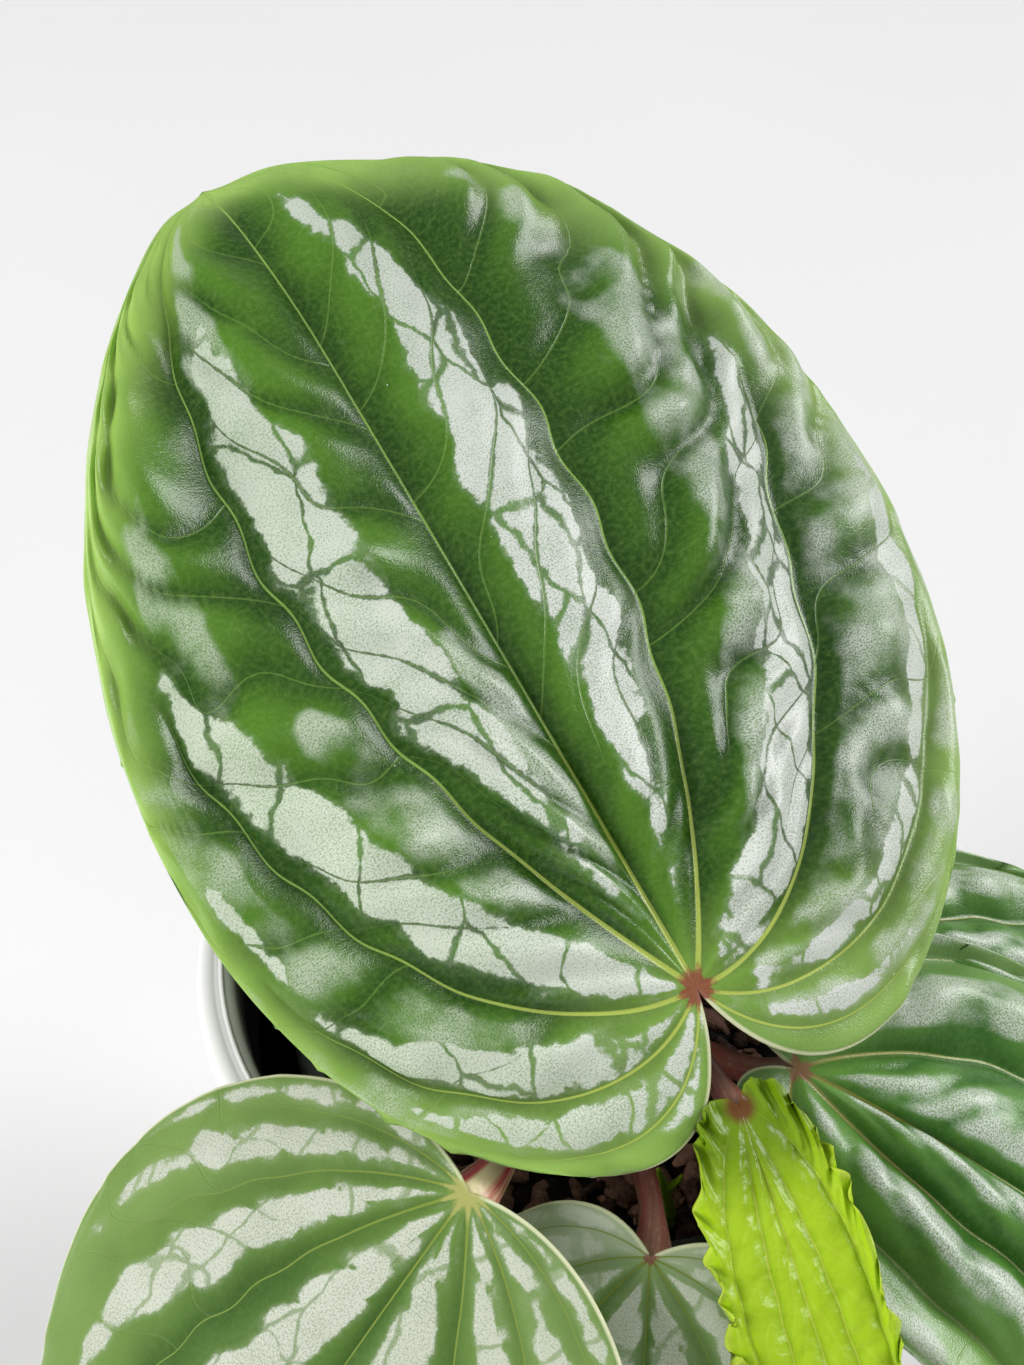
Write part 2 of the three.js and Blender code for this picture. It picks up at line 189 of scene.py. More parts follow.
@dataclass
class Shell:
    """A mesh under construction: points, faces and what each point stores."""

    points: list[Array] = field(default_factory=list)
    faces: Faces = field(default_factory=list)
    slots: list[int] = field(default_factory=list)
    stores: dict[str, list[Array]] = field(default_factory=dict)

    @property
    def count(self) -> int:
        """How many points there are so far."""
        return sum(len(p) for p in self.points)

    def add(self, points: Array, faces: Faces, **stores: Array) -> None:
        """Add a patch of points and faces, which take the first material.

        Args:
            points: an n by 3 array in metres.
            faces: corner numbers within this patch.
            stores: values to keep at each point, all patches alike.
        """
        start = self.count
        self.points.append(points)
        self.faces += [tuple(start + c for c in face) for face in faces]
        self.slots += [0] * len(faces)
        for name, values in stores.items():
            self.stores.setdefault(name, []).append(values)

    def piece(self, name: str, materials: list[bpy.types.Material]) -> bpy.types.Object:
        """Make the Blender object.

        Args:
            name: the piece's name.
            materials: its material slots.

        Returns:
            A smooth-shaded mesh object in the scene.
        """
        mesh = bpy.data.meshes.new(name)
        mesh.from_pydata(np.concatenate(self.points).tolist(), [], self.faces)
        for material in materials:
            mesh.materials.append(material)
        mesh.polygons.foreach_set("material_index", self.slots)
        mesh.polygons.foreach_set("use_smooth", [True] * len(self.faces))
        for key, values in self.stores.items():
            flat = np.concatenate(values)
            kind, slot = ("FLOAT_VECTOR", "vector") if flat.ndim == 2 else ("FLOAT", "value")
            mesh.attributes.new(key, kind, "POINT").data.foreach_set(slot, flat.ravel())
        mesh.update()
        obj = bpy.data.objects.new(name, mesh)
        bpy.context.scene.collection.objects.link(obj)
        return obj


def report(piece: bpy.types.Object, slot: str, *nodes: str) -> None:
    """Tie a piece to the body, hide the CAD nodes that it stands for, and log it.

    Args:
        piece: the finished object.
        slot: not used.
        nodes: the CAD nodes that it stands for.
    """
    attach(piece, BODY)
    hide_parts(*nodes)
    log.info("%s: %d faces for %s", piece.name, len(piece.data.polygons), ", ".join(nodes))


def ring_faces(rings: int, sides: int, start: int = 0) -> Faces:
    """Join rings of points that each close on themselves.

    Args:
        rings: how many rings there are.
        sides: points in each ring.
        start: the number of the first ring's first point.

    Returns:
        The quads between them.
    """
    return [
        (start + r * sides + s, start + r * sides + (s + 1) % sides,
         start + (r + 1) * sides + (s + 1) % sides, start + (r + 1) * sides + s)
        for r in range(rings - 1) for s in range(sides)
    ]


def tube_faces(rings: int, sides: int) -> Faces:
    """Return the quads of a tube of rings and the two flat faces that close it."""
    ends = [tuple(range(sides))[::-1], tuple(range((rings - 1) * sides, rings * sides))]
    return ring_faces(rings, sides) + ends


# ---- finishes --------------------------------------------------------------


@dataclass(frozen=True)
class Finish:
    """What every finish has: a name, how rough it is and how far it bends light."""

    name: str
    roughness: float
    ior: float = 1.5

    def material(self) -> bpy.types.Material:
        """Build the material.

        Returns:
            A principled shader with this finish's look.
        """
        material = bpy.data.materials.new(self.name)
        material.use_nodes = True
        material.node_tree.nodes.clear()
        add = partial(add_node, material.node_tree)
        inputs = {"Roughness": self.roughness, "IOR": self.ior} | self.look(add)
        add("OutputMaterial", {"Surface": add("BsdfPrincipled", inputs)})
        return material

    def look(self, add: Adder) -> dict[str, object]:
        """Make what this finish looks like.

        Args:
            add: adds a node to the material.

        Returns:
            A value or a socket for each input of the shader that it sets.
        """
        raise NotImplementedError


class BladeMap:
    """What a blade's mesh tells its skins, as sockets.

    flat is the place on the unbent blade, edge and hub are how far the margin
    and the stalk are, and rib how far the nearest rib is, all in mm. vein is
    how far the nearest main vein is, in half-widths of it, and more where it
    dies out. swell is 0 in a valley and 1 on a crest.
    """

    def __init__(self, add: Adder) -> None:
        """Read them.

        Args:
            add: adds a node to the material.
        """
        self.flat, lines, place = (add("Attribute", out="Vector", attribute_name=name)
                                   for name in ("flat", "lines", "place"))
        self.vein, rib, rib_width = (add("SeparateXYZ", (lines,), out=n) for n in range(3))
        self.hub, self.edge, self.swell = (add("SeparateXYZ", (place,), out=n) for n in range(3))
        self.rib = add("Math", (add("Math", (rib, 0.5), operation="PINGPONG"), rib_width), **TIMES)


@dataclass(frozen=True)
class WaxyLeafSkin(Finish):
    """Upper skin of a grown leaf: a waxy cuticle over deep green tissue.

    Silver streaks are air pockets under the skin. They scatter light, so the
    eye sees fine pale grain with ragged edges, cut by thin green veins.
    """

    name: str = "waxy leaf skin"
    roughness: float = 0.28
    ior: float = 1.45  # plant wax
    shine: float = 0.7
    deep: str = "#1d4608"
    middle: str = "#50801f"
    light: str = "#aad162"
    # painted shade: below 1 the right half is drawn darker and less lime than the left, as if turned from the
    # light
    right_half_light: float = 0.6  # how far the right half shares the lighter greens of the left
    rim: str = "#dfe3b8"
    vein: str = "#b4c65a"
    far_vein: str = "#8db453"
    hub: str = "#8e3f38"
    hub_reach: float = 3.9  # mm from the stalk to the end of its flush
    silver_shade: str = "#9cae96"
    silver_light: str = "#e4e9e1"
    mist: float = 0.74  # how solid a haze is
    ribs: float = 0.3  # how much the ribs stand out
    ragged: float = 1.0  # how ragged a streak's edge is
    grain: float = 0.24  # mm across a silver cell
    speck: float = 0.7  # mm across a fleck in the tissue
    tooth: float = 1.1  # mm between the small teeth of a streak's edge
    net: float = 3.6  # mm across a mesh of the finest veins
    dust: float = 5.5  # mm from one speck of dust to the next
    lobe: float = 6.0  # mm between the large teeth of a streak's edge
    wander: float = 6.0  # mm from one bend of a fine vein to the next
    island: float = 9.0  # mm across an island of silver, which is twice as long
    cloud: float = 14.0  # mm across a paler cloud in the tissue

    def look(self, add: Adder) -> dict[str, object]:
        """Lay silver, veins, the rim, the hub and dust over green tissue.

        Args:
            add: adds a node to the material.

        Returns:
            A value or a socket for each input of the shader that it sets.
        """
        at = BladeMap(add)
        cloud = add("TexNoise", {"Vector": at.flat, "Scale": 1 / self.cloud, "Detail": 3.0})
        fine = add("TexNoise", {"Vector": at.flat, "Scale": 1 / self.speck, "Detail": 3.0, "Roughness": 0.6})
        grain = add("TexNoise", {"Vector": at.flat, "Scale": 1 / self.grain, "Detail": 1.0})
        warp = add("TexNoise", {"Vector": at.flat, "Scale": 1 / self.wander, "Detail": 2.0}, "Color")
        moved = add("VectorMath", (at.flat, add("VectorMath", (warp, (4.0, 4.0, 0.0)), **TIMES)), **PLUS)
        rib_gap = add("Math", (at.rib, add("MapRange", (at.hub, 9.0, 36.0, 0.8, 0.0), **SMOOTHLY)), **PLUS)
        cells = add("TexVoronoi", {"Vector": moved, "Scale": 1 / self.net}, feature="DISTANCE_TO_EDGE")
        line = add("Math", (add("MapRange", (rib_gap, 0.2, 0.05), **SMOOTHLY),
                            add("MapRange", (cells, 0.06, 0.01, 0.0, 0.16), **SMOOTHLY)), **LARGER)
        across = add("SeparateXYZ", (at.flat,))
        skin = self.tissue(add, at, across, cloud, fine, line)
        skin, cover = self.silvered(add, at, across, cloud, grain, moved, rib_gap, skin)

        near = add("MapRange", (at.hub, 50.0, 12.0), **SMOOTHLY)
        vein = add("Mix", {0: near, 6: srgb(self.far_vein), 7: srgb(self.vein)}, 2, **COLOURS)
        off = add("MapRange", (at.vein, 0.8, 2.2, 0.0, 0.28 * self.hub_reach), **SMOOTHLY)
        reds = add("Math", (add("Math", (fine, 2.4, at.hub), **TIMES_PLUS), off), **PLUS)
        flush = (1.15 * self.hub_reach, 0.75 * self.hub_reach, 0.0, 0.9)
        dust = add("TexVoronoi", {"Vector": at.flat, "Scale": 1 / self.dust})
        for mark, colour in (
            (add("MapRange", (at.vein, 1.3, 0.6), **SMOOTHLY), vein),
            (add("MapRange", (at.edge, 0.5, 0.1), **SMOOTHLY), srgb(self.rim)),
            (add("MapRange", (reds, *flush), **SMOOTHLY), srgb(self.hub)),
            (add("MapRange", (dust, 0.024, 0.012), **SMOOTHLY), srgb(self.silver_light)),
        ):
            skin = add("Mix", {0: mark, 6: skin, 7: colour}, 2, **COLOURS)

        relief = add("Math", (grain, 0.07, add("Math", (fine, 0.06), **TIMES)), **TIMES_PLUS)
        relief = add("Math", (line, -0.06, relief), **TIMES_PLUS)
        return {
            "Base Color": skin,
            "Normal": add("Bump", {"Height": relief, "Distance": 1.0 * MM, "Strength": 0.7}),
            "Roughness": add("MapRange", (cover, 0.0, 1.0, self.roughness, self.roughness + 0.1)),
            "Specular IOR Level": self.shine,
        }

    def tissue(self, add: Adder, at: BladeMap, across: bpy.types.NodeSocket, cloud: bpy.types.NodeSocket,
               fine: bpy.types.NodeSocket, line: bpy.types.NodeSocket) -> bpy.types.NodeSocket:
        """Colour the tissue: deep beside the veins, lighter on the crests, lime to the margin.
        The deep valleys are partly the tissue's own green and partly painted shade, the right
        half is painted darker as shade, and the lime margin is partly painted light on the left.

        Args:
            add: adds a node to the material.
            at: where each point is.
            across: mm to the right of the midrib.
            cloud: large soft noise.
            fine: small noise.
            line: how strong a rib or one of the finest veins is.

        Returns:
            The tissue's colour.
        """
        # Painted shade by side: the right half is drawn darker than the left.
        half = add("MapRange", (across, -15.0, 30.0, 1.0, self.right_half_light))
        # Deeper green in the valleys: partly the tissue's own colour, partly painted shade.
        crest = add("Math", (at.swell, cloud), **PLUS)
        lift = add("Math", (crest, add("Math", (half, 0.55, 0.45), **TIMES_PLUS)), **TIMES)
        # Lime toward the margin: partly the leaf's own paler edge, partly painted light, stronger on the left
        # half.
        lime_and_painted_light = add("MapRange", (at.edge, 29.0, 4.0), **SMOOTHLY)
        for share in (add("MapRange", (cloud, 0.2, 0.6, 0.6, 1.0)),
                      add("MapRange", (at.hub, 8.0, 40.0, 0.4, 1.0)),
                      add("Math", (half, 0.5, 0.5), **TIMES_PLUS)):
            lime_and_painted_light = add("Math", (lime_and_painted_light, share), **TIMES)
        tissue = srgb(self.deep)
        for cover, colour in (
            (add("MapRange", (lift, 0.45, 1.4), **SMOOTHLY), self.middle),
            (lime_and_painted_light, self.light),
            (add("MapRange", (fine, 0.35, 0.75, 0.0, 0.16), **SMOOTHLY), self.far_vein),
            (add("Math", (line, self.ribs), **TIMES), self.far_vein),
        ):
            tissue = add("Mix", {0: cover, 6: tissue, 7: srgb(colour)}, 2, **COLOURS)
        return tissue

    def silvered(self, add: Adder, at: BladeMap, across: bpy.types.NodeSocket, cloud: bpy.types.NodeSocket,
                 grain: bpy.types.NodeSocket, moved: bpy.types.NodeSocket, rib_gap: bpy.types.NodeSocket,
                 tissue: bpy.types.NodeSocket) -> tuple[bpy.types.NodeSocket, bpy.types.NodeSocket]:
        """Lay silver on: hard ragged streaks, and a thinner haze of the same grain. The haze
        stands partly for painted sheen, and silver towards the left margin is tinted green
        as painted shade.

        Args:
            add: adds a node to the material.
            at: where each point is.
            across: mm to the right of the midrib.
            cloud: large soft noise.
            grain: noise the size of a silver cell.
            moved: the place on the blade, pushed about as fine veins wander.
            rib_gap: how far the nearest rib is.
            tissue: the green under the silver.

        Returns:
            The skin's colour and how far silver covers it.
        """
        marks = add("Attribute", out="Vector", attribute_name="marks")
        silver, haze, bloom_and_sheen = (add("SeparateXYZ", (marks,), out=n) for n in range(3))
        lobes = add("TexNoise", {"Vector": at.flat, "Scale": 1 / self.lobe, "Detail": 2.0})
        teeth = add("TexNoise", {"Vector": at.flat, "Scale": 1 / self.tooth, "Detail": 3.0, "Roughness": 0.7})
        reach = silver
        for noise, size in ((lobes, 4.6 * self.ragged), (teeth, 1.8 * self.ragged)):
            reach = add("Math", (reach, add("Math", (noise, size, -0.5 * size), **TIMES_PLUS)), **PLUS)

        halo = add("MapRange", (reach, -0.9, 0.2, 0.0, 0.16), **SMOOTHLY)
        drift = add("Math", (haze, add("Math", (lobes, 1.4, -0.7), **TIMES_PLUS)), **PLUS)
        patch = add("MapRange", (drift, 0.25, 0.95, 0.0, self.mist), **SMOOTHLY)
        soft = add("Math", (add("Math", (halo, patch), **LARGER),
                            add("MapRange", (grain, 0.3, 0.6, 0.35, 1.0))), **TIMES)

        # Ribs and fine veins part a streak into long islands.
        drawn = add("VectorMath", (moved, (1.0, 0.5, 1.0)), **TIMES)
        islands = add("TexVoronoi", {"Vector": drawn, "Scale": 1 / self.island}, feature="DISTANCE_TO_EDGE")
        gap = add("Math", (add("Math", (islands, 15.0), **TIMES), rib_gap), operation="MINIMUM")
        crack = add("Math", (teeth, -1.1, gap), **TIMES_PLUS)
        hard = add("MapRange", (reach, -0.2, 0.4), **SMOOTHLY)
        for share in (add("MapRange", (crack, -0.4, 0.0, 1.0 - min(3 * self.ribs, 1.0), 1.0), **SMOOTHLY),
                      add("MapRange", (grain, 0.22, 0.5, 0.84, 1.0))):
            hard = add("Math", (hard, share), **TIMES)
        cover = add("Math", (hard, soft), **LARGER)

        glow = add("Math", (add("Math", (lobes, cloud), **PLUS), 0.35), **TIMES)
        shine = add("MapRange", (add("Math", (grain, 0.9, glow), **TIMES_PLUS), 0.5, 0.92), **SMOOTHLY)
        pale = srgb(self.silver_shade)
        # The last share is painted shade: silver towards the left margin is tinted green, as if turned from
        # the light.
        for share, colour in ((shine, self.silver_light),
                              (add("MapRange", (at.hub, 45.0, 110.0, 0.0, 0.4)), self.silver_shade),
                              (add("MapRange", (across, -30.0, 5.0, 0.2, 0.0)), self.light)):
            pale = add("Mix", {0: share, 6: pale, 7: srgb(colour)}, 2, **COLOURS)
        skin = add("Mix", {0: cover, 6: tissue, 7: pale}, 2, **COLOURS)
        # Paler margin toward grey: partly the leaf's own silvery haze, partly painted sheen.
        return add("Mix", {0: bloom_and_sheen, 6: skin, 7: srgb(self.silver_shade)}, 2, **COLOURS), cover


@dataclass(frozen=True)
class LeafUnderside(Finish):
    """Lower skin of a leaf: matt, paler, with the veins standing out."""

    name: str = "pale leaf underside"
    roughness: float = 0.55
    tissue: str = "#8fae6e"
    shade: str = "#6b9350"
    vein: str = "#bccb92"
    flush: str = "#a7645a"
    cloud: float = 6.0  # mm across a paler cloud
    skin: float = 0.6  # mm across a bump of the skin

    def look(self, add: Adder) -> dict[str, object]:
        """Lay veins, red near the stalk, over cloudy tissue.

        Args:
            add: adds a node to the material.

        Returns:
            A value or a socket for each input of the shader that it sets.
        """
        at = BladeMap(add)
        cloud = add("TexNoise", {"Vector": at.flat, "Scale": 1 / self.cloud, "Detail": 4.0, "Roughness": 0.6})
        fine = add("TexNoise", {"Vector": at.flat, "Scale": 1 / self.skin, "Detail": 3.0})
        near = add("MapRange", (at.hub, 26.0, 2.0, 0.0, 0.8), **SMOOTHLY)
        line = add("Mix", {0: near, 6: srgb(self.vein), 7: srgb(self.flush)}, 2, **COLOURS)
        colour = srgb(self.shade)
        for cover, paint in ((add("MapRange", (cloud, 0.3, 0.7), **SMOOTHLY), srgb(self.tissue)),
                             (add("MapRange", (at.vein, 2.2, 1.0), **SMOOTHLY), line)):
            colour = add("Mix", {0: cover, 6: colour, 7: paint}, 2, **COLOURS)
        return {"Base Color": colour,
                "Normal": add("Bump", {"Height": fine, "Distance": 0.15 * MM, "Strength": 0.6})}


@dataclass(frozen=True)
class YoungLeafSkin(Finish):
    """Skin of a leaf that has just opened: thin, glossy and full of light."""

    name: str = "glossy young leaf skin"
    roughness: float = 0.3
    ior: float = 1.45
    deep: str = "#7ea60c"
    bright: str = "#a9cc22"
    pale: str = "#cfe052"
    # painted shade: the blade is drawn darker near its stalk, where it lies in shadow
    throat_shade: str = "#557a06"
    hub: str = "#6b3122"
    skin: float = 1.0  # mm across a bump of the skin
    pucker: float = 3.2  # mm across a pucker
    cloud: float = 5.0  # mm across a deeper cloud

    def look(self, add: Adder) -> dict[str, object]:
        """Lay pale veins and painted shade near the stalk over bright, puckered tissue.

        Args:
            add: adds a node to the material.

        Returns:
            A value or a socket for each input of the shader that it sets.
        """
        at = BladeMap(add)
        cloud = add("TexNoise", {"Vector": at.flat, "Scale": 1 / self.cloud, "Detail": 4.0, "Roughness": 0.6})
        lift = add("Math", (at.swell, cloud), **PLUS)
        line = add("Math", (add("MapRange", (at.vein, 1.4, 0.6, 0.0, 0.75), **SMOOTHLY),
                            add("MapRange", (at.rib, 0.3, 0.1, 0.0, 0.15), **SMOOTHLY)), **LARGER)
        colour = srgb(self.deep)
        for cover, paint in (
            (add("MapRange", (lift, -0.2, 1.1), **SMOOTHLY), self.bright),
            (add("MapRange", (at.edge, 8.0, 1.5), **SMOOTHLY), self.bright),
            (line, self.pale),
            (add("MapRange", (at.edge, 1.0, 0.1, 0.0, 0.5), **SMOOTHLY), self.pale),
            # Painted shade near the stalk.
            (add("MapRange", (at.hub, 15.0, 4.0, 0.0, 0.8), **SMOOTHLY), self.throat_shade),
            (add("MapRange", (at.hub, 2.6, 1.0, 0.0, 0.9), **SMOOTHLY), self.hub),
        ):
            colour = add("Mix", {0: cover, 6: colour, 7: srgb(paint)}, 2, **COLOURS)
        fine = add("TexNoise", {"Vector": at.flat, "Scale": 1 / self.skin, "Detail": 3.0})
        puckers = add("TexNoise", {"Vector": at.flat, "Scale": 1 / self.pucker, "Detail": 1.0})
        bump = add("Bump", {"Height": fine, "Distance": 0.3 * MM, "Strength": 0.5})
        bump = add("Bump", {"Height": puckers, "Distance": 1.6 * MM, "Strength": 0.5, "Normal": bump})
        return {"Base Color": colour, "Normal": bump}


@dataclass(frozen=True)
class FleshyStalk(Finish):
    """Juicy leaf stalk: a thin shiny skin, red-brown and streaked, greener to the leaf."""

    name: str = "fleshy stalk"
    roughness: float = 0.36
    foot: str = "#4d241e"
    middle: str = "#7d4b40"
    top: str = "#9c7562"
    streak: str = "#87322e"
    streaks: float = 0.6  # how strong the red streaks are
    speck: str = "#c9a489"
    streak_width: float = 0.8  # mm
    speck_width: float = 0.3  # mm

    def look(self, add: Adder) -> dict[str, object]:
        """Shade the stalk from foot to top, with red streaks, a red band on each side and specks.

        Args:
            add: adds a node to the material.

        Returns:
            A value or a socket for each input of the shader that it sets.
        """
        along = add("Attribute", out="Fac", attribute_name="along")
        where = add("Attribute", out="Vector", attribute_name="flat")
        drawn = add("VectorMath", (where, (1.0, 1.0, 0.22)), **TIMES)
        streaks = add("TexNoise", {"Vector": drawn, "Scale": 1 / self.streak_width, "Detail": 3.0,
                                   "Roughness": 0.6})
        specks = add("TexNoise", {"Vector": where, "Scale": 1 / self.speck_width, "Detail": 2.0})
        place = add("Math", (streaks, 0.4, add("Math", (along, -0.2), **PLUS)), **TIMES_PLUS)
        side = add("Math", (add("SeparateXYZ", (where,)),), operation="ABSOLUTE")
        band = add("MapRange", (side, 0.5, 1.0), **SMOOTHLY)
        for share in (add("MapRange", (side, 1.95, 1.6), **SMOOTHLY),
                      add("MapRange", (along, 0.5, 0.85, 0.0, self.streaks)),
                      add("MapRange", (streaks, 0.25, 0.5), **SMOOTHLY)):
            band = add("Math", (band, share), **TIMES)
        colour = srgb(self.foot)
        for cover, paint in (
            (add("MapRange", (place, 0.0, 0.6), **SMOOTHLY), self.middle),
            (add("MapRange", (place, 0.74, 1.0), **SMOOTHLY), self.top),
            (add("MapRange", (streaks, 0.52, 0.68, 0.0, self.streaks), **SMOOTHLY), self.streak),
            (band, self.streak),
            (add("MapRange", (specks, 0.6, 0.72, 0.0, 0.4), **SMOOTHLY), self.speck),
        ):
            colour = add("Mix", {0: cover, 6: colour, 7: srgb(paint)}, 2, **COLOURS)
        return {"Base Color": colour,
                "Normal": add("Bump", {"Height": streaks, "Distance": 0.25 * MM, "Strength": 0.6})}


@dataclass(frozen=True)
class PottingBark(Finish):
    """Composted pine bark and peat: dull, dark, fibrous, redder on chips."""

    name: str = "potting bark"
    roughness: float = 0.92
    peat: str = "#0e0a08"
    chip_dark: str = "#33201a"
    # the chips' own red-brown, made lighter still as painted light against the shade over the soil
    chip_light: str = "#9a7261"
    dust: str = "#b08f7c"
    fibre: float = 1.1  # mm across a bundle of fibres
    crumb: float = 2.6  # mm across a crumb of peat

    def look(self, add: Adder) -> dict[str, object]:
        """Shade peat and, where the mesh says so, chips of bark.

        Args:
            add: adds a node to the material.

        Returns:
            A value or a socket for each input of the shader that it sets.
        """
        where = add("NewGeometry", out="Position")
        chip, tone = (add("Attribute", out="Fac", attribute_name=name) for name in ("chip", "tone"))
        fibre, crumbs = (add("TexNoise", {"Vector": where, "Scale": 1 / (size * MM), "Detail": detail,
                                          "Roughness": rough})
                         for size, detail, rough in ((self.fibre, 5.0, 0.7), (self.crumb, 4.0, 0.6)))
        shade = add("Math", (fibre, 1.2, add("Math", (tone, -0.6), **PLUS)), **TIMES_PLUS)
        bark = srgb(self.chip_dark)
        for cover, paint in ((add("MapRange", (shade, 0.05, 0.95), **SMOOTHLY), self.chip_light),
                             (add("MapRange", (fibre, 0.62, 0.8, 0.0, 0.45), **SMOOTHLY), self.dust)):
            bark = add("Mix", {0: cover, 6: bark, 7: srgb(paint)}, 2, **COLOURS)
        crust = add("MapRange", (crumbs, 0.5, 0.75, 0.0, 0.7), **SMOOTHLY)
        ground = add("Mix", {0: crust, 6: srgb(self.peat), 7: srgb(self.chip_dark)}, 2, **COLOURS)
        height = add("Math", (fibre, crumbs), **PLUS)
        return {"Base Color": add("Mix", {0: chip, 6: ground, 7: bark}, 2, **COLOURS),
                "Normal": add("Bump", {"Height": height, "Distance": 0.8 * MM, "Strength": 0.9})}


@dataclass(frozen=True)
class NurseryPlastic(Finish):
    """Recycled polypropylene, vacuum-formed: black, faintly satin, grey at the lip with dust and painted
    reflection.
    """

    name: str = "nursery pot polypropylene"
    roughness: float = 0.46
    ior: float = 1.49
    black: str = "#141416"
    # grey on the lip: partly dust, partly a painted reflection of the rolled rim
    dust: str = "#4f5550"
    dusty_roughness: float = 0.75
    cloud: float = 5.0  # mm across a patch of dust
    skin: float = 0.5  # mm across a bump of the moulded skin

    def look(self, add: Adder) -> dict[str, object]:
        """Lay patchy grey over the black, most of it on the lip: partly dust, partly painted reflection.

        Args:
            add: adds a node to the material.

        Returns:
            A value or a socket for each input of the shader that it sets.
        """
        where = add("NewGeometry", out="Position")
        cloud = add("TexNoise", {"Vector": where, "Scale": 1 / (self.cloud * MM), "Detail": 5.0,
                                 "Roughness": 0.6})
        skin = add("TexNoise", {"Vector": where, "Scale": 1 / (self.skin * MM)})
        lip = add("Attribute", out="Fac", attribute_name="lip")
        # Grey patches on the lip: dust and painted reflection.
        dust_and_reflection = add("Math", (add("MapRange", (cloud, 0.3, 0.7, 0.35, 1.0), **SMOOTHLY), lip), **TIMES)
        return {
            "Base Color": add("Mix", {0: dust_and_reflection, 6: srgb(self.black), 7: srgb(self.dust)}, 2, **COLOURS),
            "Normal": add("Bump", {"Height": skin, "Distance": 0.08 * MM, "Strength": 0.5}),
            "Roughness": add("MapRange", (dust_and_reflection, 0.0, 1.0, self.roughness, self.dusty_roughness)),
        }


@dataclass(frozen=True)
class WhiteGlaze(Finish):
    """White satin glaze on slip-cast earthenware: even, softly wavy, bright, with painted shade in the well.
    """

    name: str = "white satin glaze"
    roughness: float = 0.3
    ior: float = 1.52
    white: str = "#f7f7f5"
    shade: str = "#f4f4f2"
    # painted shade: near black for the well, where shade falls
    inside: str = "#1d1a20"
    pool: float = 22.0  # mm across a pool where the glaze ran thicker
    skin: float = 3.5  # mm across a ripple

    def look(self, add: Adder) -> dict[str, object]:
        """Shade the glaze, dark in the well where no light reaches.

        Args:
            add: adds a node to the material.

        Returns:
            A value or a socket for each input of the shader that it sets.
        """
        where = add("NewGeometry", out="Position")
        pool = add("TexNoise", {"Vector": where, "Scale": 1 / (self.pool * MM), "Detail": 3.0})
        skin = add("TexNoise", {"Vector": where, "Scale": 1 / (self.skin * MM), "Detail": 2.0})
        colour = srgb(self.shade)
        # The second pair is painted shade: where the lip mark is set, the well and the rim's inner rounding
        # turn near black.
        for cover, paint in ((add("MapRange", (pool, 0.35, 0.65), **SMOOTHLY), self.white),
                             (add("Attribute", out="Fac", attribute_name="lip"), self.inside)):
            colour = add("Mix", {0: cover, 6: colour, 7: srgb(paint)}, 2, **COLOURS)
        return {
            "Base Color": colour,
            "Normal": add("Bump", {"Height": skin, "Distance": 0.05 * MM, "Strength": 0.1}),
            "Roughness": add("MapRange", (pool, 0.3, 0.7, self.roughness - 0.01, self.roughness + 0.02)),
        }


@dataclass(frozen=True)
class PaperFloor(Finish):
    """Seamless paper: matt and pale, faintly cloudy."""

    name: str = "pale paper floor"
    roughness: float = 0.9
    paper: str = "#efefef"
    lighter: str = "#f2f2f2"
    cloud: float = 400.0  # mm across a lighter cloud

    def look(self, add: Adder) -> dict[str, object]:
        """Shade the paper.

        Args:
            add: adds a node to the material.

        Returns:
            A value or a socket for each input of the shader that it sets.
        """
        where = add("NewGeometry", out="Position")
        cloud = add("TexNoise", {"Vector": where, "Scale": 1 / (self.cloud * MM)})
        tint = add("MapRange", (cloud, 0.3, 0.7), **SMOOTHLY)
        return {"Base Color": add("Mix", {0: tint, 6: srgb(self.paper), 7: srgb(self.lighter)}, 2, **COLOURS)}


# ---- leaves ------------------------------------------------------------------


class Side(Enum):
    """A half of a leaf, seen from above with the tip away."""

    LEFT = -1
    RIGHT = 1


class Age(Enum):
    """Which veins a leaf has."""

    GROWN = "grown"
    WIDE = "wide"
    SMALL = "small"
    YOUNG = "young"


class Skin(Enum):
    """Which finish a blade and its stalk have."""

    VIVID = "vivid"
    CREAM = "cream"
    GLOSSY = "glossy"
    QUIET = "quiet"
    PALE = "pale"
    YOUNG = "young"


@dataclass(frozen=True)
class HalfOutline:
    """Half of a blade's outline, in lengths of the blade.

    The margin leaves the base at the angle notch behind the midrib; reach,
    wide and shoulder set its two handles, and slim narrows the whole half.
    """

    notch: float = 167.0
    reach: float = 0.45
    wide: float = 0.88
    shoulder: float = 0.48
    slim: float = 1.0


@dataclass(frozen=True)
class Streak:
    """A silver streak in the panel between two main veins.

    Each key holds a place along the blade and where the streak begins and
    ends across the panel there. A weight of 1 makes a solid streak, and any
    other one a haze of that strength, which stands partly for silver and partly
    for painted sheen.
    """

    side: Side
    panel: int
    keys: tuple[tuple[float, float, float], ...]
    weight: float = 1.0


Line = tuple[tuple[float, float], ...]

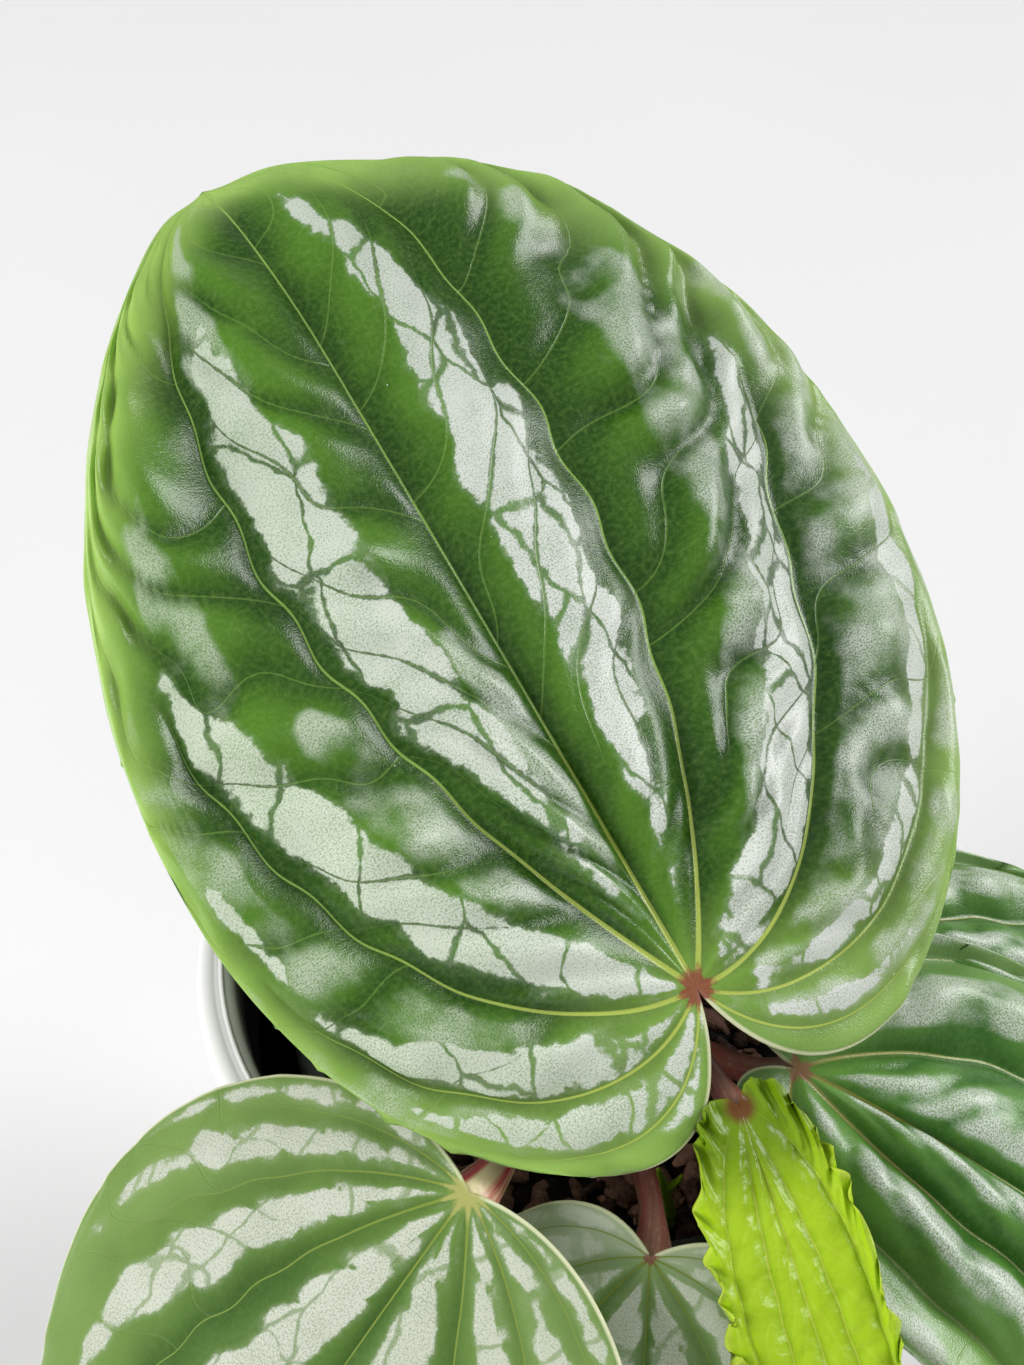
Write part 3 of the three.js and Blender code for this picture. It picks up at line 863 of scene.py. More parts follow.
# Where each main vein of a half runs: places along the blade, and shares of
# the way from the midrib to the margin.
VEINS: dict[Age, dict[Side, tuple[Line, ...]]] = {
    Age.GROWN: {
        Side.RIGHT: (
            ((0.0, 0.33), (0.3, 0.29), (0.5, 0.265), (0.68, 0.275), (0.8, 0.33), (0.9, 0.47), (1.0, 0.75)),
            ((0.0, 0.69), (0.11, 0.63), (0.22, 0.58), (0.45, 0.55), (0.55, 0.6), (0.66, 0.67), (0.8, 0.8),
             (1.0, 0.93)),
            ((0.0, 0.85), (0.1, 0.82), (0.3, 0.8), (0.5, 0.82), (0.7, 0.89), (1.0, 0.97)),
            ((0.0, 0.955), (0.2, 0.93), (0.4, 0.93), (0.6, 0.95), (0.8, 0.98), (1.0, 0.99)),
        ),
        Side.LEFT: (
            ((0.0, 0.28), (0.35, 0.29), (0.5, 0.31), (0.67, 0.34), (0.78, 0.39), (0.86, 0.45), (1.0, 0.7)),
            ((0.0, 0.63), (0.1, 0.59), (0.3, 0.56), (0.45, 0.565), (0.6, 0.61), (0.7, 0.67), (0.8, 0.77),
             (1.0, 0.9)),
            ((0.0, 0.83), (0.1, 0.79), (0.25, 0.75), (0.4, 0.745), (0.55, 0.78), (0.7, 0.86), (1.0, 0.96)),
            ((0.0, 0.95), (0.15, 0.92), (0.3, 0.88), (0.5, 0.9), (0.7, 0.95), (1.0, 0.985)),
        ),
    },
    Age.WIDE: {
        Side.RIGHT: (((0.0, 0.33), (0.3, 0.3), (0.5, 0.29), (0.7, 0.32), (1.0, 0.75)),
                     ((0.0, 0.7), (0.2, 0.61), (0.45, 0.57), (0.66, 0.66), (1.0, 0.93))),
        Side.LEFT: (((0.0, 0.42), (0.4, 0.4), (0.7, 0.46), (1.0, 0.8)),
                    ((0.0, 0.78), (0.4, 0.76), (0.7, 0.85), (1.0, 0.96))),
    },
    Age.SMALL: {
        side: (((0.0, 0.46), (0.4, 0.42), (0.75, 0.48), (1.0, 0.8)),
               ((0.0, 0.7), (0.35, 0.7), (0.7, 0.82), (1.0, 0.95)),
               ((0.0, 0.88), (0.3, 0.9), (0.6, 0.95), (1.0, 0.99)))
        for side in Side
    },
    Age.YOUNG: {
        side: (((0.0, 0.36), (0.5, 0.34), (0.8, 0.38), (1.0, 0.7)), ((0.0, 0.7), (0.6, 0.72), (1.0, 0.93)))
        for side in Side
    },
}

LARGE_LEAF_STREAKS = (
    Streak(Side.RIGHT, 0, ((0.08, 0.6, 0.69), (0.15, 0.5, 0.7), (0.2, 0.44, 0.73), (0.3, 0.41, 0.82),
                           (0.4, 0.38, 0.86), (0.5, 0.35, 0.87), (0.6, 0.37, 0.87), (0.7, 0.42, 0.83),
                           (0.8, 0.42, 0.72), (0.87, 0.37, 0.53), (0.92, 0.42, 0.5))),
    Streak(Side.RIGHT, 1, ((0.03, 0.4, 0.9), (0.08, 0.34, 0.98), (0.2, 0.52, 0.98), (0.33, 0.58, 0.98),
                           (0.44, 0.74, 0.98), (0.53, 0.76, 0.97), (0.61, 0.84, 0.97), (0.66, 0.9, 0.95))),
    Streak(Side.RIGHT, 1, ((0.08, 0.3, 0.6), (0.2, 0.34, 0.6), (0.35, 0.36, 0.7), (0.42, 0.5, 0.7)), 0.85),
    Streak(Side.RIGHT, 1, ((0.42, 0.45, 0.62), (0.55, 0.36, 0.74), (0.7, 0.32, 0.74), (0.86, 0.4, 0.6)), 0.9),
    Streak(Side.RIGHT, 2, ((0.05, 0.55, 0.85), (0.15, 0.66, 0.96), (0.28, 0.74, 0.96), (0.4, 0.7, 0.95),
                           (0.5, 0.6, 0.92), (0.57, 0.7, 0.85))),
    Streak(Side.RIGHT, 2, ((0.05, 0.1, 0.7), (0.3, 0.1, 0.95), (0.6, 0.05, 0.98), (0.76, 0.1, 0.9)), 0.8),
    Streak(Side.RIGHT, 3, ((0.03, 0.45, 0.7), (0.08, 0.4, 0.85), (0.16, 0.5, 0.8), (0.22, 0.6, 0.7))),
    Streak(Side.RIGHT, 3, ((0.04, 0.2, 0.9), (0.2, 0.1, 0.95), (0.4, 0.05, 0.9), (0.6, 0.1, 0.8)), 0.8),
    Streak(Side.LEFT, 0, ((0.08, 0.5, 0.62), (0.14, 0.48, 0.68), (0.22, 0.45, 0.76), (0.3, 0.42, 0.85),
                          (0.36, 0.48, 0.9), (0.5, 0.5, 0.93), (0.6, 0.46, 0.93), (0.7, 0.58, 0.92),
                          (0.77, 0.62, 0.88), (0.81, 0.68, 0.82))),
    Streak(Side.LEFT, 0, ((0.72, 0.6, 0.9), (0.82, 0.58, 0.92), (0.9, 0.64, 0.88), (0.95, 0.7, 0.8)), 1.2),
    Streak(Side.LEFT, 0, ((0.1, 0.25, 0.5), (0.2, 0.12, 0.55), (0.34, 0.15, 0.5), (0.41, 0.25, 0.45)), 1.3),
    Streak(Side.LEFT, 1, ((0.02, 0.3, 0.7), (0.06, 0.25, 0.8), (0.12, 0.3, 0.84), (0.2, 0.44, 0.85),
                          (0.3, 0.5, 0.86), (0.4, 0.5, 0.87), (0.48, 0.57, 0.9), (0.55, 0.68, 0.94),
                          (0.62, 0.86, 0.94))),
    Streak(Side.LEFT, 1, ((0.14, 0.1, 0.4), (0.25, 0.08, 0.5), (0.4, 0.1, 0.5), (0.46, 0.2, 0.4)), 0.85),
    Streak(Side.LEFT, 1, ((0.52, 0.4, 0.7), (0.62, 0.4, 0.85), (0.74, 0.5, 0.8)), 0.8),
    Streak(Side.LEFT, 2, ((0.02, 0.5, 0.8), (0.07, 0.35, 0.95), (0.15, 0.3, 0.96), (0.2, 0.46, 0.96),
                          (0.3, 0.64, 0.97), (0.4, 0.84, 0.97))),
    Streak(Side.LEFT, 2, ((0.41, 0.6, 0.75), (0.46, 0.52, 0.85), (0.52, 0.6, 0.75))),
    Streak(Side.LEFT, 2, ((0.14, 0.1, 0.5), (0.33, 0.15, 0.7), (0.5, 0.2, 0.9), (0.66, 0.3, 0.9)), 0.75),
    Streak(Side.LEFT, 3, ((0.02, 0.3, 0.8), (0.06, 0.25, 0.97), (0.1, 0.15, 0.97), (0.16, 0.15, 0.9),
                          (0.25, 0.25, 0.75), (0.33, 0.4, 0.6))),
    Streak(Side.LEFT, 3, ((0.1, 0.1, 0.98), (0.3, 0.1, 0.95), (0.5, 0.2, 0.9)), 0.7),
    Streak(Side.LEFT, 4, ((0.02, 0.15, 0.55), (0.06, 0.1, 0.7), (0.14, 0.2, 0.6))),
)


def even_streaks(low: float, high: float, stop: float, panels: int,
                 weight: float = 1.0) -> tuple[Streak, ...]:
    """Return one streak down the middle of each panel.

    Args:
        low: where the streaks begin across a panel.
        high: where they end.
        stop: how far along the blade the inner ones run.
        panels: how many panels half a blade has.
        weight: how solid the streaks are.

    Returns:
        Streaks for both halves.
    """
    streaks = []
    for side in Side:
        for panel in range(panels):
            end = stop - 0.1 * panel
            keys = ((0.03, 0.42, 0.62), (0.1, low, high), (0.6 * end, low + 0.05, high + 0.02),
                    (end, 0.55, 0.66))
            streaks.append(Streak(side, panel, keys, weight))
    return tuple(streaks)


@dataclass(frozen=True)
class Folds:
    """How half a blade swells between its veins.

    swell, fold and slant hold, for each panel from the midrib out, the height
    in mm of the whole panel and of the pillows between its ribs, and how many
    ribs a line straight across the panel meets.
    """

    swell: tuple[float, ...]
    fold: tuple[float, ...]
    slant: tuple[float, ...]
    groove: float = 0.4  # mm that a main vein sinks in
    ribs: float = 9.0  # from the base to the tip
    ruffle: float = 0.35  # mm of wave at the margin
    ruffles: float = 7.0  # waves from the base to the tip


@dataclass(frozen=True)
class LeafForm:
    """One leaf: its place, its pose, its outline and its marks.

    base and length are in millimetres, angles in degrees. heading is the way
    the blade points in plan, rise its slope along the midrib, and tilt its
    turn about the midrib. droop bends it to the left, to the right, along the
    midrib and at the tip. root is the turn, reach and height of the stalk's
    foot; lift and meet are the stalk's slopes at its two ends. folds and bloom
    hold the left half's and then the right half's.
    """

    name: str
    base: tuple[float, float, float]
    heading: float
    rise: float
    tilt: float
    length: float
    droop: tuple[float, float, float, float]
    root: tuple[float, float, float]
    lift: float
    meet: float
    folds: tuple[Folds, Folds]
    seed: int
    sway: float = 0.0  # how far the midrib curves to the right
    left: HalfOutline = HalfOutline()
    right: HalfOutline = HalfOutline()
    streaks: tuple[Streak, ...] = ()
    # A paler margin: partly the leaf's own silvery haze, partly painted sheen, which leaf_1 has most on its
    # right half.
    bloom_and_sheen: tuple[float, float] = (0.06, 0.06)  # how pale the margin is
    veil: float = 0.0  # how much wider that pale margin is at the tip
    age: Age = Age.GROWN
    skin: Skin = Skin.QUIET
    frill: float = 0.004  # how far the outline waves, in lengths of the blade
    cells: int = 10
    rows: int = 120
    thin: float = 1.0  # the stalk's thickness beside a common one


# The folds of a leaf's left and right half.
SMALL_FOLDS = (
    Folds((1.0, 1.2, 0.8, 0.2), (0.15, 0.25, 0.2, 0.05), (2.2, 1.6, 1.0, 0.5), 0.25, ruffle=0.15),
) * 2
DEEP_FOLDS = (Folds((4.6, 5.6, 4.0), (1.5, 2.2, 1.2), (2.6, 2.0, 1.2), 0.6, ribs=7),) * 2
YOUNG_FOLDS = (Folds((1.0, 1.2, 0.7), (0.4, 0.5, 0.25), (2.6, 2.2, 1.6), 0.2, ruffle=1.3, ruffles=9.5),) * 2
LARGE_LEAF_FOLDS = (Folds((3.0, 3.2, 2.4, 1.1, 0.4), (2.8, 3.0, 2.2, 0.7, 0.1), (2.6, 2.2, 1.4, 0.9, 0.5)),
                    Folds((2.0, 4.0, 3.2, 1.8, 0.6), (0.6, 4.6, 3.4, 1.5, 0.3), (3.0, 2.6, 1.6, 0.9, 0.5)))

LEAVES = (
    LeafForm(
        "leaf_1", (8.9, -35.8, 134.6), 129, 38, -12.6, 133, (0.74, 0.9, 0.36, 0.9), (-76, -1.5, 6), 85, 80,
        LARGE_LEAF_FOLDS, 3, sway=0.04, left=HalfOutline(167, 0.43, 0.75, 0.41),
        right=HalfOutline(167, 0.486, 1.03, 0.557), streaks=LARGE_LEAF_STREAKS, bloom_and_sheen=(0.03, 0.1), veil=0.5,
        frill=0.003, skin=Skin.VIVID, cells=20, rows=300,
    ),
    LeafForm(
        "leaf_2", (-18.4, -56, 122.3), -133, -27, -10, 75, (0.2, 0.55, 0.4, 0.5), (-140, 6, 2), 50, 40,
        SMALL_FOLDS, 4, left=HalfOutline(110, 0.4, 0.94, 0.5), right=HalfOutline(116, 0.43, 0.98, 0.45),
        streaks=even_streaks(0.22, 0.76, 0.86, 4), age=Age.SMALL, skin=Skin.CREAM, frill=0.0004,
        cells=14, rows=170,
    ),
    LeafForm(
        "leaf_3", (3, -58.9, 113.3), -96, -36, 6, 60, (0.7, 0.8, 0.6, 0.5), (-104, 6.6, 2), 45, 40,
        SMALL_FOLDS, 5, left=HalfOutline(122, 0.4, 0.9, 0.53), right=HalfOutline(146, 0.44, 0.92, 0.43),
        streaks=even_streaks(0.14, 0.84, 0.86, 4), bloom_and_sheen=(0.62, 0.62), age=Age.SMALL, skin=Skin.PALE,
        thin=0.82,
    ),
    LeafForm(
        "leaf_4", (22.7, -35.1, 118.3), -21, -13, 12, 86, (0.5, 1.0, 0.6, 0.5), (-38, 6, 2), 55, 45,
        DEEP_FOLDS, 6, sway=0.06, left=HalfOutline(165, 0.43, 0.88, 0.5, 0.85),
        right=HalfOutline(160, 0.36, 0.88, 0.6, 0.73), streaks=even_streaks(0.16, 0.7, 0.9, 3, 1.2),
        bloom_and_sheen=(0.25, 0.25), age=Age.WIDE, skin=Skin.GLOSSY, cells=14, rows=170,
    ),
    LeafForm(
        "leaf_5", (34.7, -13.9, 117.1), -2, -4, 5, 66, (0.45, 0.6, 0.9, 0.5), (10, 6, 2), 55, 50,
        DEEP_FOLDS, 7, sway=0.12, left=HalfOutline(slim=0.75), right=HalfOutline(slim=0.5),
        streaks=even_streaks(0.16, 0.7, 0.9, 3, 1.2), bloom_and_sheen=(0.3, 0.3), age=Age.WIDE, skin=Skin.GLOSSY,
    ),
    *(
        LeafForm(name, base, heading, rise, tilt, length, (0.5, 0.5, arch, 0.4), (turn, 6, 2), lift, 60,
                 SMALL_FOLDS, seed, streaks=even_streaks(0.2, 0.78, 0.86, 4), age=Age.SMALL)
        for name, base, heading, rise, tilt, length, arch, turn, lift, seed in (
            ("leaf_6", (-17, 14, 118), 162, 2, -4, 48, 0.6, 150, 65, 8),
            ("leaf_7", (17, 17, 118), 38, 0, 4, 46, 0.6, 58, 65, 9),
            ("leaf_8", (-4, 24, 124), 97, 0, 0, 58, 0.7, 104, 70, 10),
        )
    ),
    LeafForm(
        "new_leaf", (13.7, -46.7, 126), -71, -24, 8, 55, (-0.9, -0.9, 0.5, 0.3), (-65, 4.2, 6), 80, 45,
        YOUNG_FOLDS, 11, left=HalfOutline(130, 0.4, 0.8, 0.55, 0.39),
        right=HalfOutline(120, 0.38, 0.8, 0.55, 0.39), age=Age.YOUNG, skin=Skin.YOUNG, frill=0.024,
        cells=16, rows=220, thin=0.75,
    ),
)

# How far along the blade the midrib and each main vein beside it begin and end to fade.
FADES = {
    Age.GROWN: ((0.9, 1.4), (0.9, 1.2), (0.5, 0.74), (0.34, 0.54), (0.2, 0.36)),
    Age.WIDE: ((0.9, 1.4), (0.9, 1.2), (0.8, 1.0)),
    Age.SMALL: ((0.9, 1.4), (0.75, 1.1), (0.5, 0.75), (0.25, 0.45)),
    Age.YOUNG: ((0.9, 1.4), (0.9, 1.2), (0.8, 1.0)),
}


@dataclass
class Panels:
    """The mesh grid of a blade: a column runs down each main vein.

    Each array has a row for each place along the blade, and a column for each
    place across it.
    """

    across: Array
    along: Array
    panel: Array
    share: Array


@dataclass
class Leaf:
    """A blade and its stalk, built from one LeafForm."""

    form: LeafForm
    thickness: float = 0.85  # mm in the middle of the blade
    margin: float = 0.4  # mm at its margin
    stalk_foot: float = 2.3  # mm radius
    stalk_top: float = 1.8
    soil_level: float = 80.0
    seat: float = 1.3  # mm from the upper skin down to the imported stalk's end
    slip: float = 1.6  # mm that the stalk's end reaches under the blade
    large: float = 133.0  # mm, the length that folds and veins are sized for
    edge: float = 0.16  # mm that the rounded margin stands out
    keel: float = 0.5  # mm that a main vein stands out below
    veins: tuple[float, ...] = (1.0, 1.0, 0.85, 0.65, 0.5)  # thickness, from the midrib out
    fineness: float = 3.52  # columns in half a blade for each of the form's cells
    stalk_sides: int = 20
    stalk_rings: int = 56

    def outline(self, across: Array, along: Array) -> tuple[Array, Array]:
        """Return x and y, in blade lengths, of the fan of curves.

        Args:
            across: -1 at the left margin, 0 at the midrib, 1 at the right.
            along: 0 at the base, 1 at the tip.

        Returns:
            The two coordinates of each point of the flat blade.
        """
        share = np.abs(across)
        pick = {name: np.where(across < 0, getattr(self.form.left, name), getattr(self.form.right, name))
                for name in ("notch", "reach", "wide", "shoulder", "slim")}
        angle = np.radians(pick["notch"]) * share ** 1.4
        reach = 1 / 3 + (pick["reach"] - 1 / 3) * share ** 3
        rest = 1 - along
        first = 3 * along * rest * rest
        second = 3 * along * along * rest
        turns = 1.31 * self.form.folds[0].ruffles * along + 0.35 * np.sin(19 * along + 2 * np.sign(across))
        frill = self.form.frill * share ** 14 * np.sin(2 * math.pi * turns) * (1 + 0.5 * np.sin(31 * along))
        slim = pick["slim"] + frill * smooth(along, 0.0, 0.1)
        x = slim * np.sign(across) * (first * reach * np.sin(angle) + second * pick["wide"] * share)
        y = first * reach * np.cos(angle) + second * (2 / 3 + (pick["shoulder"] - 2 / 3) * share) + along ** 3
        return x, y

    def sheet(self, across: Array, along: Array) -> Array:
        """Bend the flat blade to its smooth sheet, without folds.

        Args:
            across: -1 at the left margin, 0 at the midrib, 1 at the right.
            along: 0 at the base, 1 at the tip.

        Returns:
            Points in the blade's own frame, in mm.
        """
        x, y = self.outline(across, along)
        left, right, length, tip = self.form.droop
        droop = (np.where(x < 0, left, right) * x * x * 0.5 + length * y * y * 0.5
                 + tip * np.maximum(y - 0.7, 0) ** 2)
        blunt = 0.022 * np.exp(-(x * x + (1 - y) ** 2) / 0.06 ** 2)
        return np.stack([x + self.form.sway * y * y, y - blunt, -droop], -1) * self.form.length

    def grid(self) -> Panels:
        """Lay the mesh's columns so that one runs down each main vein.

        Returns:
            The places of all the points, with their panels.
        """
        along = np.linspace(0, 1, self.form.rows + 1)[1:-1, None]
        parts = []
        for side, folds in zip(Side, self.form.folds):
            lines = [np.zeros_like(along)]
            for count, vein in enumerate(VEINS[self.form.age][side]):
                bends = np.sin(2 * math.pi * (folds.ribs * along + 0.31 * count))
                lines.append(through(vein, 1, along) + 0.007 * bends * smooth(along, 0.12, 0.4))
            lines.append(np.ones_like(along))
            for panel in range(len(lines) - 1):
                reach = lines[panel + 1] - lines[panel]
                cells = max(4, round(self.form.cells * self.fineness * float(reach.mean())))
                even = np.linspace(0, 1, cells + 1)
                steps = (0.45 * even + 0.275 * (1 - np.cos(math.pi * even)))[None, :]
                # Each column is laid once: a vein's by the panel outside it, the midrib's by the right half.
                if panel < len(lines) - 2:
                    steps = steps[:, :-1]
                if side is Side.LEFT and panel == 0:
                    steps = steps[:, 1:]
                across = side.value * (lines[panel] + reach * steps)
                part = (across, np.full(across.shape, panel), np.broadcast_to(steps, across.shape))
                if side is Side.LEFT:
                    parts.insert(0, tuple(a[:, ::-1] for a in part))
                else:
                    parts.append(part)
        across, panel, share = (np.concatenate([part[n] for part in parts], 1) for n in range(3))
        return Panels(across, np.broadcast_to(along, across.shape), panel, share)

    def fading(self, along: Array) -> Array:
        """Return how deep each main vein lies, from 1 to 0 as it dies out.

        Args:
            along: places along the blade.

        Returns:
            For each place, the midrib, the veins from it outwards and the margin.
        """
        veins = [1 - smooth(along, *fade) for fade in FADES[self.form.age]]
        return np.stack(veins + [np.full_like(along, 0.7)], -1)

    def swells(self, grid: Panels, to_vein: Array, strength: Array,
               flat: Array) -> tuple[Array, Array, Array]:
        """Raise the blade between its veins.

        Args:
            grid: the blade's panels.
            to_vein: distance to the nearest main vein, in mm.
            strength: how deep that vein lies there, as a share.
            flat: the unbent blade's points, in mm.

        Returns:
            The height in mm, the count of ribs passed on the way to the tip and
            how near each point is to the top of its pillow, from 0 to 1.
        """
        size = self.form.length / self.large
        fade = smooth(grid.along, 0.0, 0.2) * smooth(1 - grid.along, 0.0, 0.2)
        uneven = Waves(self.form.seed, 26.0 * size).at(flat[..., 0], flat[..., 1])
        coarse = Waves(self.form.seed + 20, 9.0 * size).at(flat[..., 0], flat[..., 1])
        deep = self.fading(grid.along)
        inner = np.take_along_axis(deep, grid.panel[..., None], -1)[..., 0]
        outer = np.take_along_axis(deep, grid.panel[..., None] + 1, -1)[..., 0]
        crest = ((1 - inner * np.maximum(1 - 2 * grid.share, 0) ** 1.3)
                 * (1 - outer * np.maximum(2 * grid.share - 1, 0) ** 1.3))
        place = grid.panel + grid.share
        height = np.zeros_like(grid.across)
        rib = np.zeros_like(grid.across)
        top = np.zeros_like(grid.across)
        for side, folds in zip(Side, self.form.folds):
            here = (grid.across < 0) if side is Side.LEFT else (grid.across >= 0)
            slant = np.array(folds.slant)
            # Beside the midrib a rib leaves its vein squarely and then turns lengthwise.
            ease = np.where(grid.panel < 2, 0.35 * grid.share + 0.65 * grid.share ** 2.2, grid.share)
            passed = (np.cumsum(slant) - slant)[grid.panel] + slant[grid.panel] * ease
            phase = folds.ribs * grid.along - passed + 0.22 * uneven + 0.37 * side.value
            pillow = (np.sin(math.pi * phase) ** 2 + 0.02) ** 0.48
            middles = np.arange(len(folds.swell)) + 0.5
            swell = np.interp(place, middles, folds.swell) * (1 + 0.22 * uneven)
            fold = np.interp(place, middles, folds.fold) * (1 + 0.3 * coarse)
            fold = fold * (1 - 0.8 * smooth(np.abs(grid.across), 0.72, 0.95))
            groove = folds.groove * strength * np.exp(-(to_vein / 0.8) ** 2)
            waves = 2 * math.pi * (folds.ruffles * grid.along + 0.3 * uneven)
            beat = np.sin(waves) + 0.45 * np.sin(2.3 * waves + 1.0)
            ruffle = folds.ruffle * np.abs(grid.across) ** 9 * beat
            rise = (size * crest * (swell + fold * (pillow - 0.55)) - groove) * fade + ruffle * fade
            height = np.where(here, rise, height)
            rib = np.where(here, phase, rib)
            strong = np.minimum(fold / 2, 1) * fade
            top = np.where(here, crest * (1 - strong + strong * pillow), top)
        return soften(height), rib, top

    def silver(self, grid: Panels, rib: Array, width: Array) -> tuple[Array, Array]:
        """Return how deep each point lies inside a silver streak or a haze.

        Args:
            grid: the blade's panels.
            rib: the count of ribs passed.
            width: how wide each point's panel is there, in mm.

        Returns:
            Millimetres inside a streak, negative outside, and the haze from 0 to 1.
        """
        streak_depth = np.full(rib.shape, -6.0)
        haze = np.zeros(rib.shape)
        scallop = 1.3 * (1 - np.abs(np.sin(math.pi * rib)) ** 0.5)
        for streak in self.form.streaks:
            low, high = through(streak.keys, 1, grid.along), through(streak.keys, 2, grid.along)
            start, stop = streak.keys[0][0], streak.keys[-1][0]
            sideways = np.minimum(grid.share - low, high - grid.share) * width
            lengthways = np.minimum(grid.along - start, stop - grid.along) * self.form.length
            depth = np.minimum(np.minimum(sideways, lengthways), 3.0)
            here = (grid.panel == streak.panel) & (np.sign(grid.across) == streak.side.value)
            if streak.weight == 1:
                streak_depth = np.where(here, np.maximum(streak_depth, depth - scallop), streak_depth)
            else:
                # A haze stands partly for silver and partly for painted sheen, so it is strongest on the
                # pillow tops.
                pillow = 0.4 + 0.6 * np.sin(math.pi * rib) ** 2
                mist = streak.weight * pillow * smooth(depth, -0.8, 1.6)
                haze = np.where(here, np.maximum(haze, mist), haze)
        return streak_depth, haze

    def axes(self) -> Array:
        """Turn and tilt the blade's axes.

        Returns:
            Right, forward and up out of the blade, as the rows of an array.
        """
        heading, rise = math.radians(self.form.heading), math.radians(self.form.rise)
        level = math.cos(rise)
        forward = Vector((level * math.cos(heading), level * math.sin(heading), math.sin(rise)))
        right = forward.cross(Vector((0, 0, 1))).normalized()
        right.rotate(Matrix.Rotation(math.radians(self.form.tilt), 3, forward))
        return np.array([right, forward, right.cross(forward)])

    def to_world(self, points: Array) -> Array:
        """Turn points in the blade's frame, in mm, to metres in the world."""
        return (points @ self.axes() + np.array(self.form.base)) * MM

    def distances(self, grid: Panels, flat: Array) -> tuple[Array, Array, Array, Array, Array]:
        """Measure along each row of the flat blade.

        Args:
            grid: the blade's panels.
            flat: the unbent blade's points, in mm.

        Returns:
            In mm, the distance to the nearest main vein and to the margin and
            the width of the panel; how thick that vein is and how deep it
            lies, as shares.
        """
        step = np.linalg.norm(np.diff(flat, axis=1), axis=-1)
        walk = np.concatenate([np.zeros((len(step), 1)), np.cumsum(step, 1)], 1)
        columns = np.flatnonzero(grid.share[0] == 0)
        veins = grid.panel[0][columns]
        thick = np.array(self.veins)[veins]
        gaps = np.abs(walk[:, :, None] - walk[:, None, columns])
        nearest = gaps.argmin(-1)
        marks = np.concatenate([[0], columns, [walk.shape[1] - 1]])
        slot = np.clip(np.searchsorted(marks, np.arange(walk.shape[1]), side="right") - 1, 0, len(marks) - 2)
        width = (walk[:, marks[1:]] - walk[:, marks[:-1]])[:, slot]
        strength = np.take_along_axis(self.fading(grid.along[:, 0])[:, veins], nearest, 1)
        return gaps.min(-1), np.minimum(walk, walk[:, -1:] - walk), width, thick[nearest], strength

    def spacing(self, rib: Array, flat: Array) -> Array:
        """Return how far apart the ribs are at each point.

        Args:
            rib: the count of ribs passed.
            flat: the unbent blade's points, in mm.

        Returns:
            Millimetres from rib to rib, measured square to them.
        """
        row, column = (np.gradient(flat[..., :2], axis=axis) for axis in (0, 1))
        steps = []
        for axis in (0, 1):
            ahead = np.diff(rib, axis=axis)
            pad = [(0, 0), (0, 0)]
            pad[axis] = (0, 1)
            after = np.pad(ahead, pad, "edge")
            pad[axis] = (1, 0)
            before = np.pad(ahead, pad, "edge")
            steps.append(np.where(np.abs(after) < np.abs(before), after, before))
        area = row[..., 0] * column[..., 1] - row[..., 1] * column[..., 0]
        area = np.where(np.abs(area) < 1e-6, 1e-6, area)
        per_x = (steps[0] * column[..., 1] - steps[1] * row[..., 1]) / area
        per_y = (steps[1] * row[..., 0] - steps[0] * column[..., 0]) / area
        return np.clip(1 / np.maximum(np.hypot(per_x, per_y), 1e-3), 1.0, 40.0)

    def blade(self, upper: bpy.types.Material, lower: bpy.types.Material) -> bpy.types.Object:
        """Build the blade.

        Args:
            upper: the upper skin.
            lower: the lower skin.

        Returns:
            The blade as one closed mesh.
        """
        grid = self.grid()
        x, y = self.outline(grid.across, grid.along)
        flat = np.stack([x, y, np.zeros_like(x)], -1) * self.form.length
        base = self.sheet(grid.across, grid.along)
        down_rows, over_columns = np.gradient(base, axis=(0, 1))
        normal = np.cross(over_columns, down_rows)
        normal /= np.maximum(np.linalg.norm(normal, axis=-1, keepdims=True), 1e-9)
        to_vein, to_edge, width, thick, strength = self.distances(grid, flat)
        from_hub = np.linalg.norm(flat, axis=-1)
        height, rib, crest = self.swells(grid, to_vein, strength, flat)
        silver, haze = self.silver(grid, rib, width)

        size = math.sqrt(self.form.length / self.large) * (0.7 if self.form.age is Age.SMALL else 1.0)
        vein_half = size * thick * (0.14 + 0.27 * np.exp(-from_hub / (22.0 * size)))
        rib_width = self.spacing(rib, flat) * (1 + 3 * smooth(grid.share, 0.55, 0.95))
        veil = smooth(np.abs(grid.across) + self.form.veil * (grid.along - 0.5), 0.5, 0.9)
        bloom_and_sheen = np.where(grid.across < 0, *self.form.bloom_and_sheen) * veil
        from_vein = np.minimum(to_vein / vein_half, 12.0) + 2.5 * (1 - strength)
        stores = {
            "flat": flat,
            "marks": np.stack([silver, haze, bloom_and_sheen], -1),
            "lines": np.stack([from_vein, rib, rib_width], -1),
            "place": np.stack([from_hub, to_edge, crest], -1),
        }
        top = base + normal * height[..., None]
        body = self.margin + (self.thickness - self.margin) * smooth(to_edge, 0.0, 3.0)
        keel = self.keel * np.exp(-(to_vein / 0.9) ** 2) * smooth(to_edge, 0.5, 3.0)
        under = top - normal * (body + keel)[..., None]
        return self.close(top, under, stores, upper, lower)

    def close(self, top: Array, under: Array, stores: dict[str, Array], upper: bpy.types.Material,
              lower: bpy.types.Material) -> bpy.types.Object:
        """Join the two skins at the margin, the base and the tip.

        Args:
            top: rows and columns of points of the upper skin, in mm.
            under: the same of the lower skin.
            stores: what each point of the upper skin stores.
            upper: the upper skin's material.
            lower: the lower skin's material.

        Returns:
            One closed mesh.
        """
        rows, columns = top.shape[:2]
        rims = []
        for column, beside in ((0, 1), (-1, -2)):
            out = top[:, column] - top[:, beside]
            out /= np.linalg.norm(out, axis=-1, keepdims=True)
            rims.append(0.5 * (top[:, column] + under[:, column]) + self.edge * out)
        poles = np.array([[0.0, 0.0, 0.0], self.sheet(np.array(0.0), np.array(1.0))])
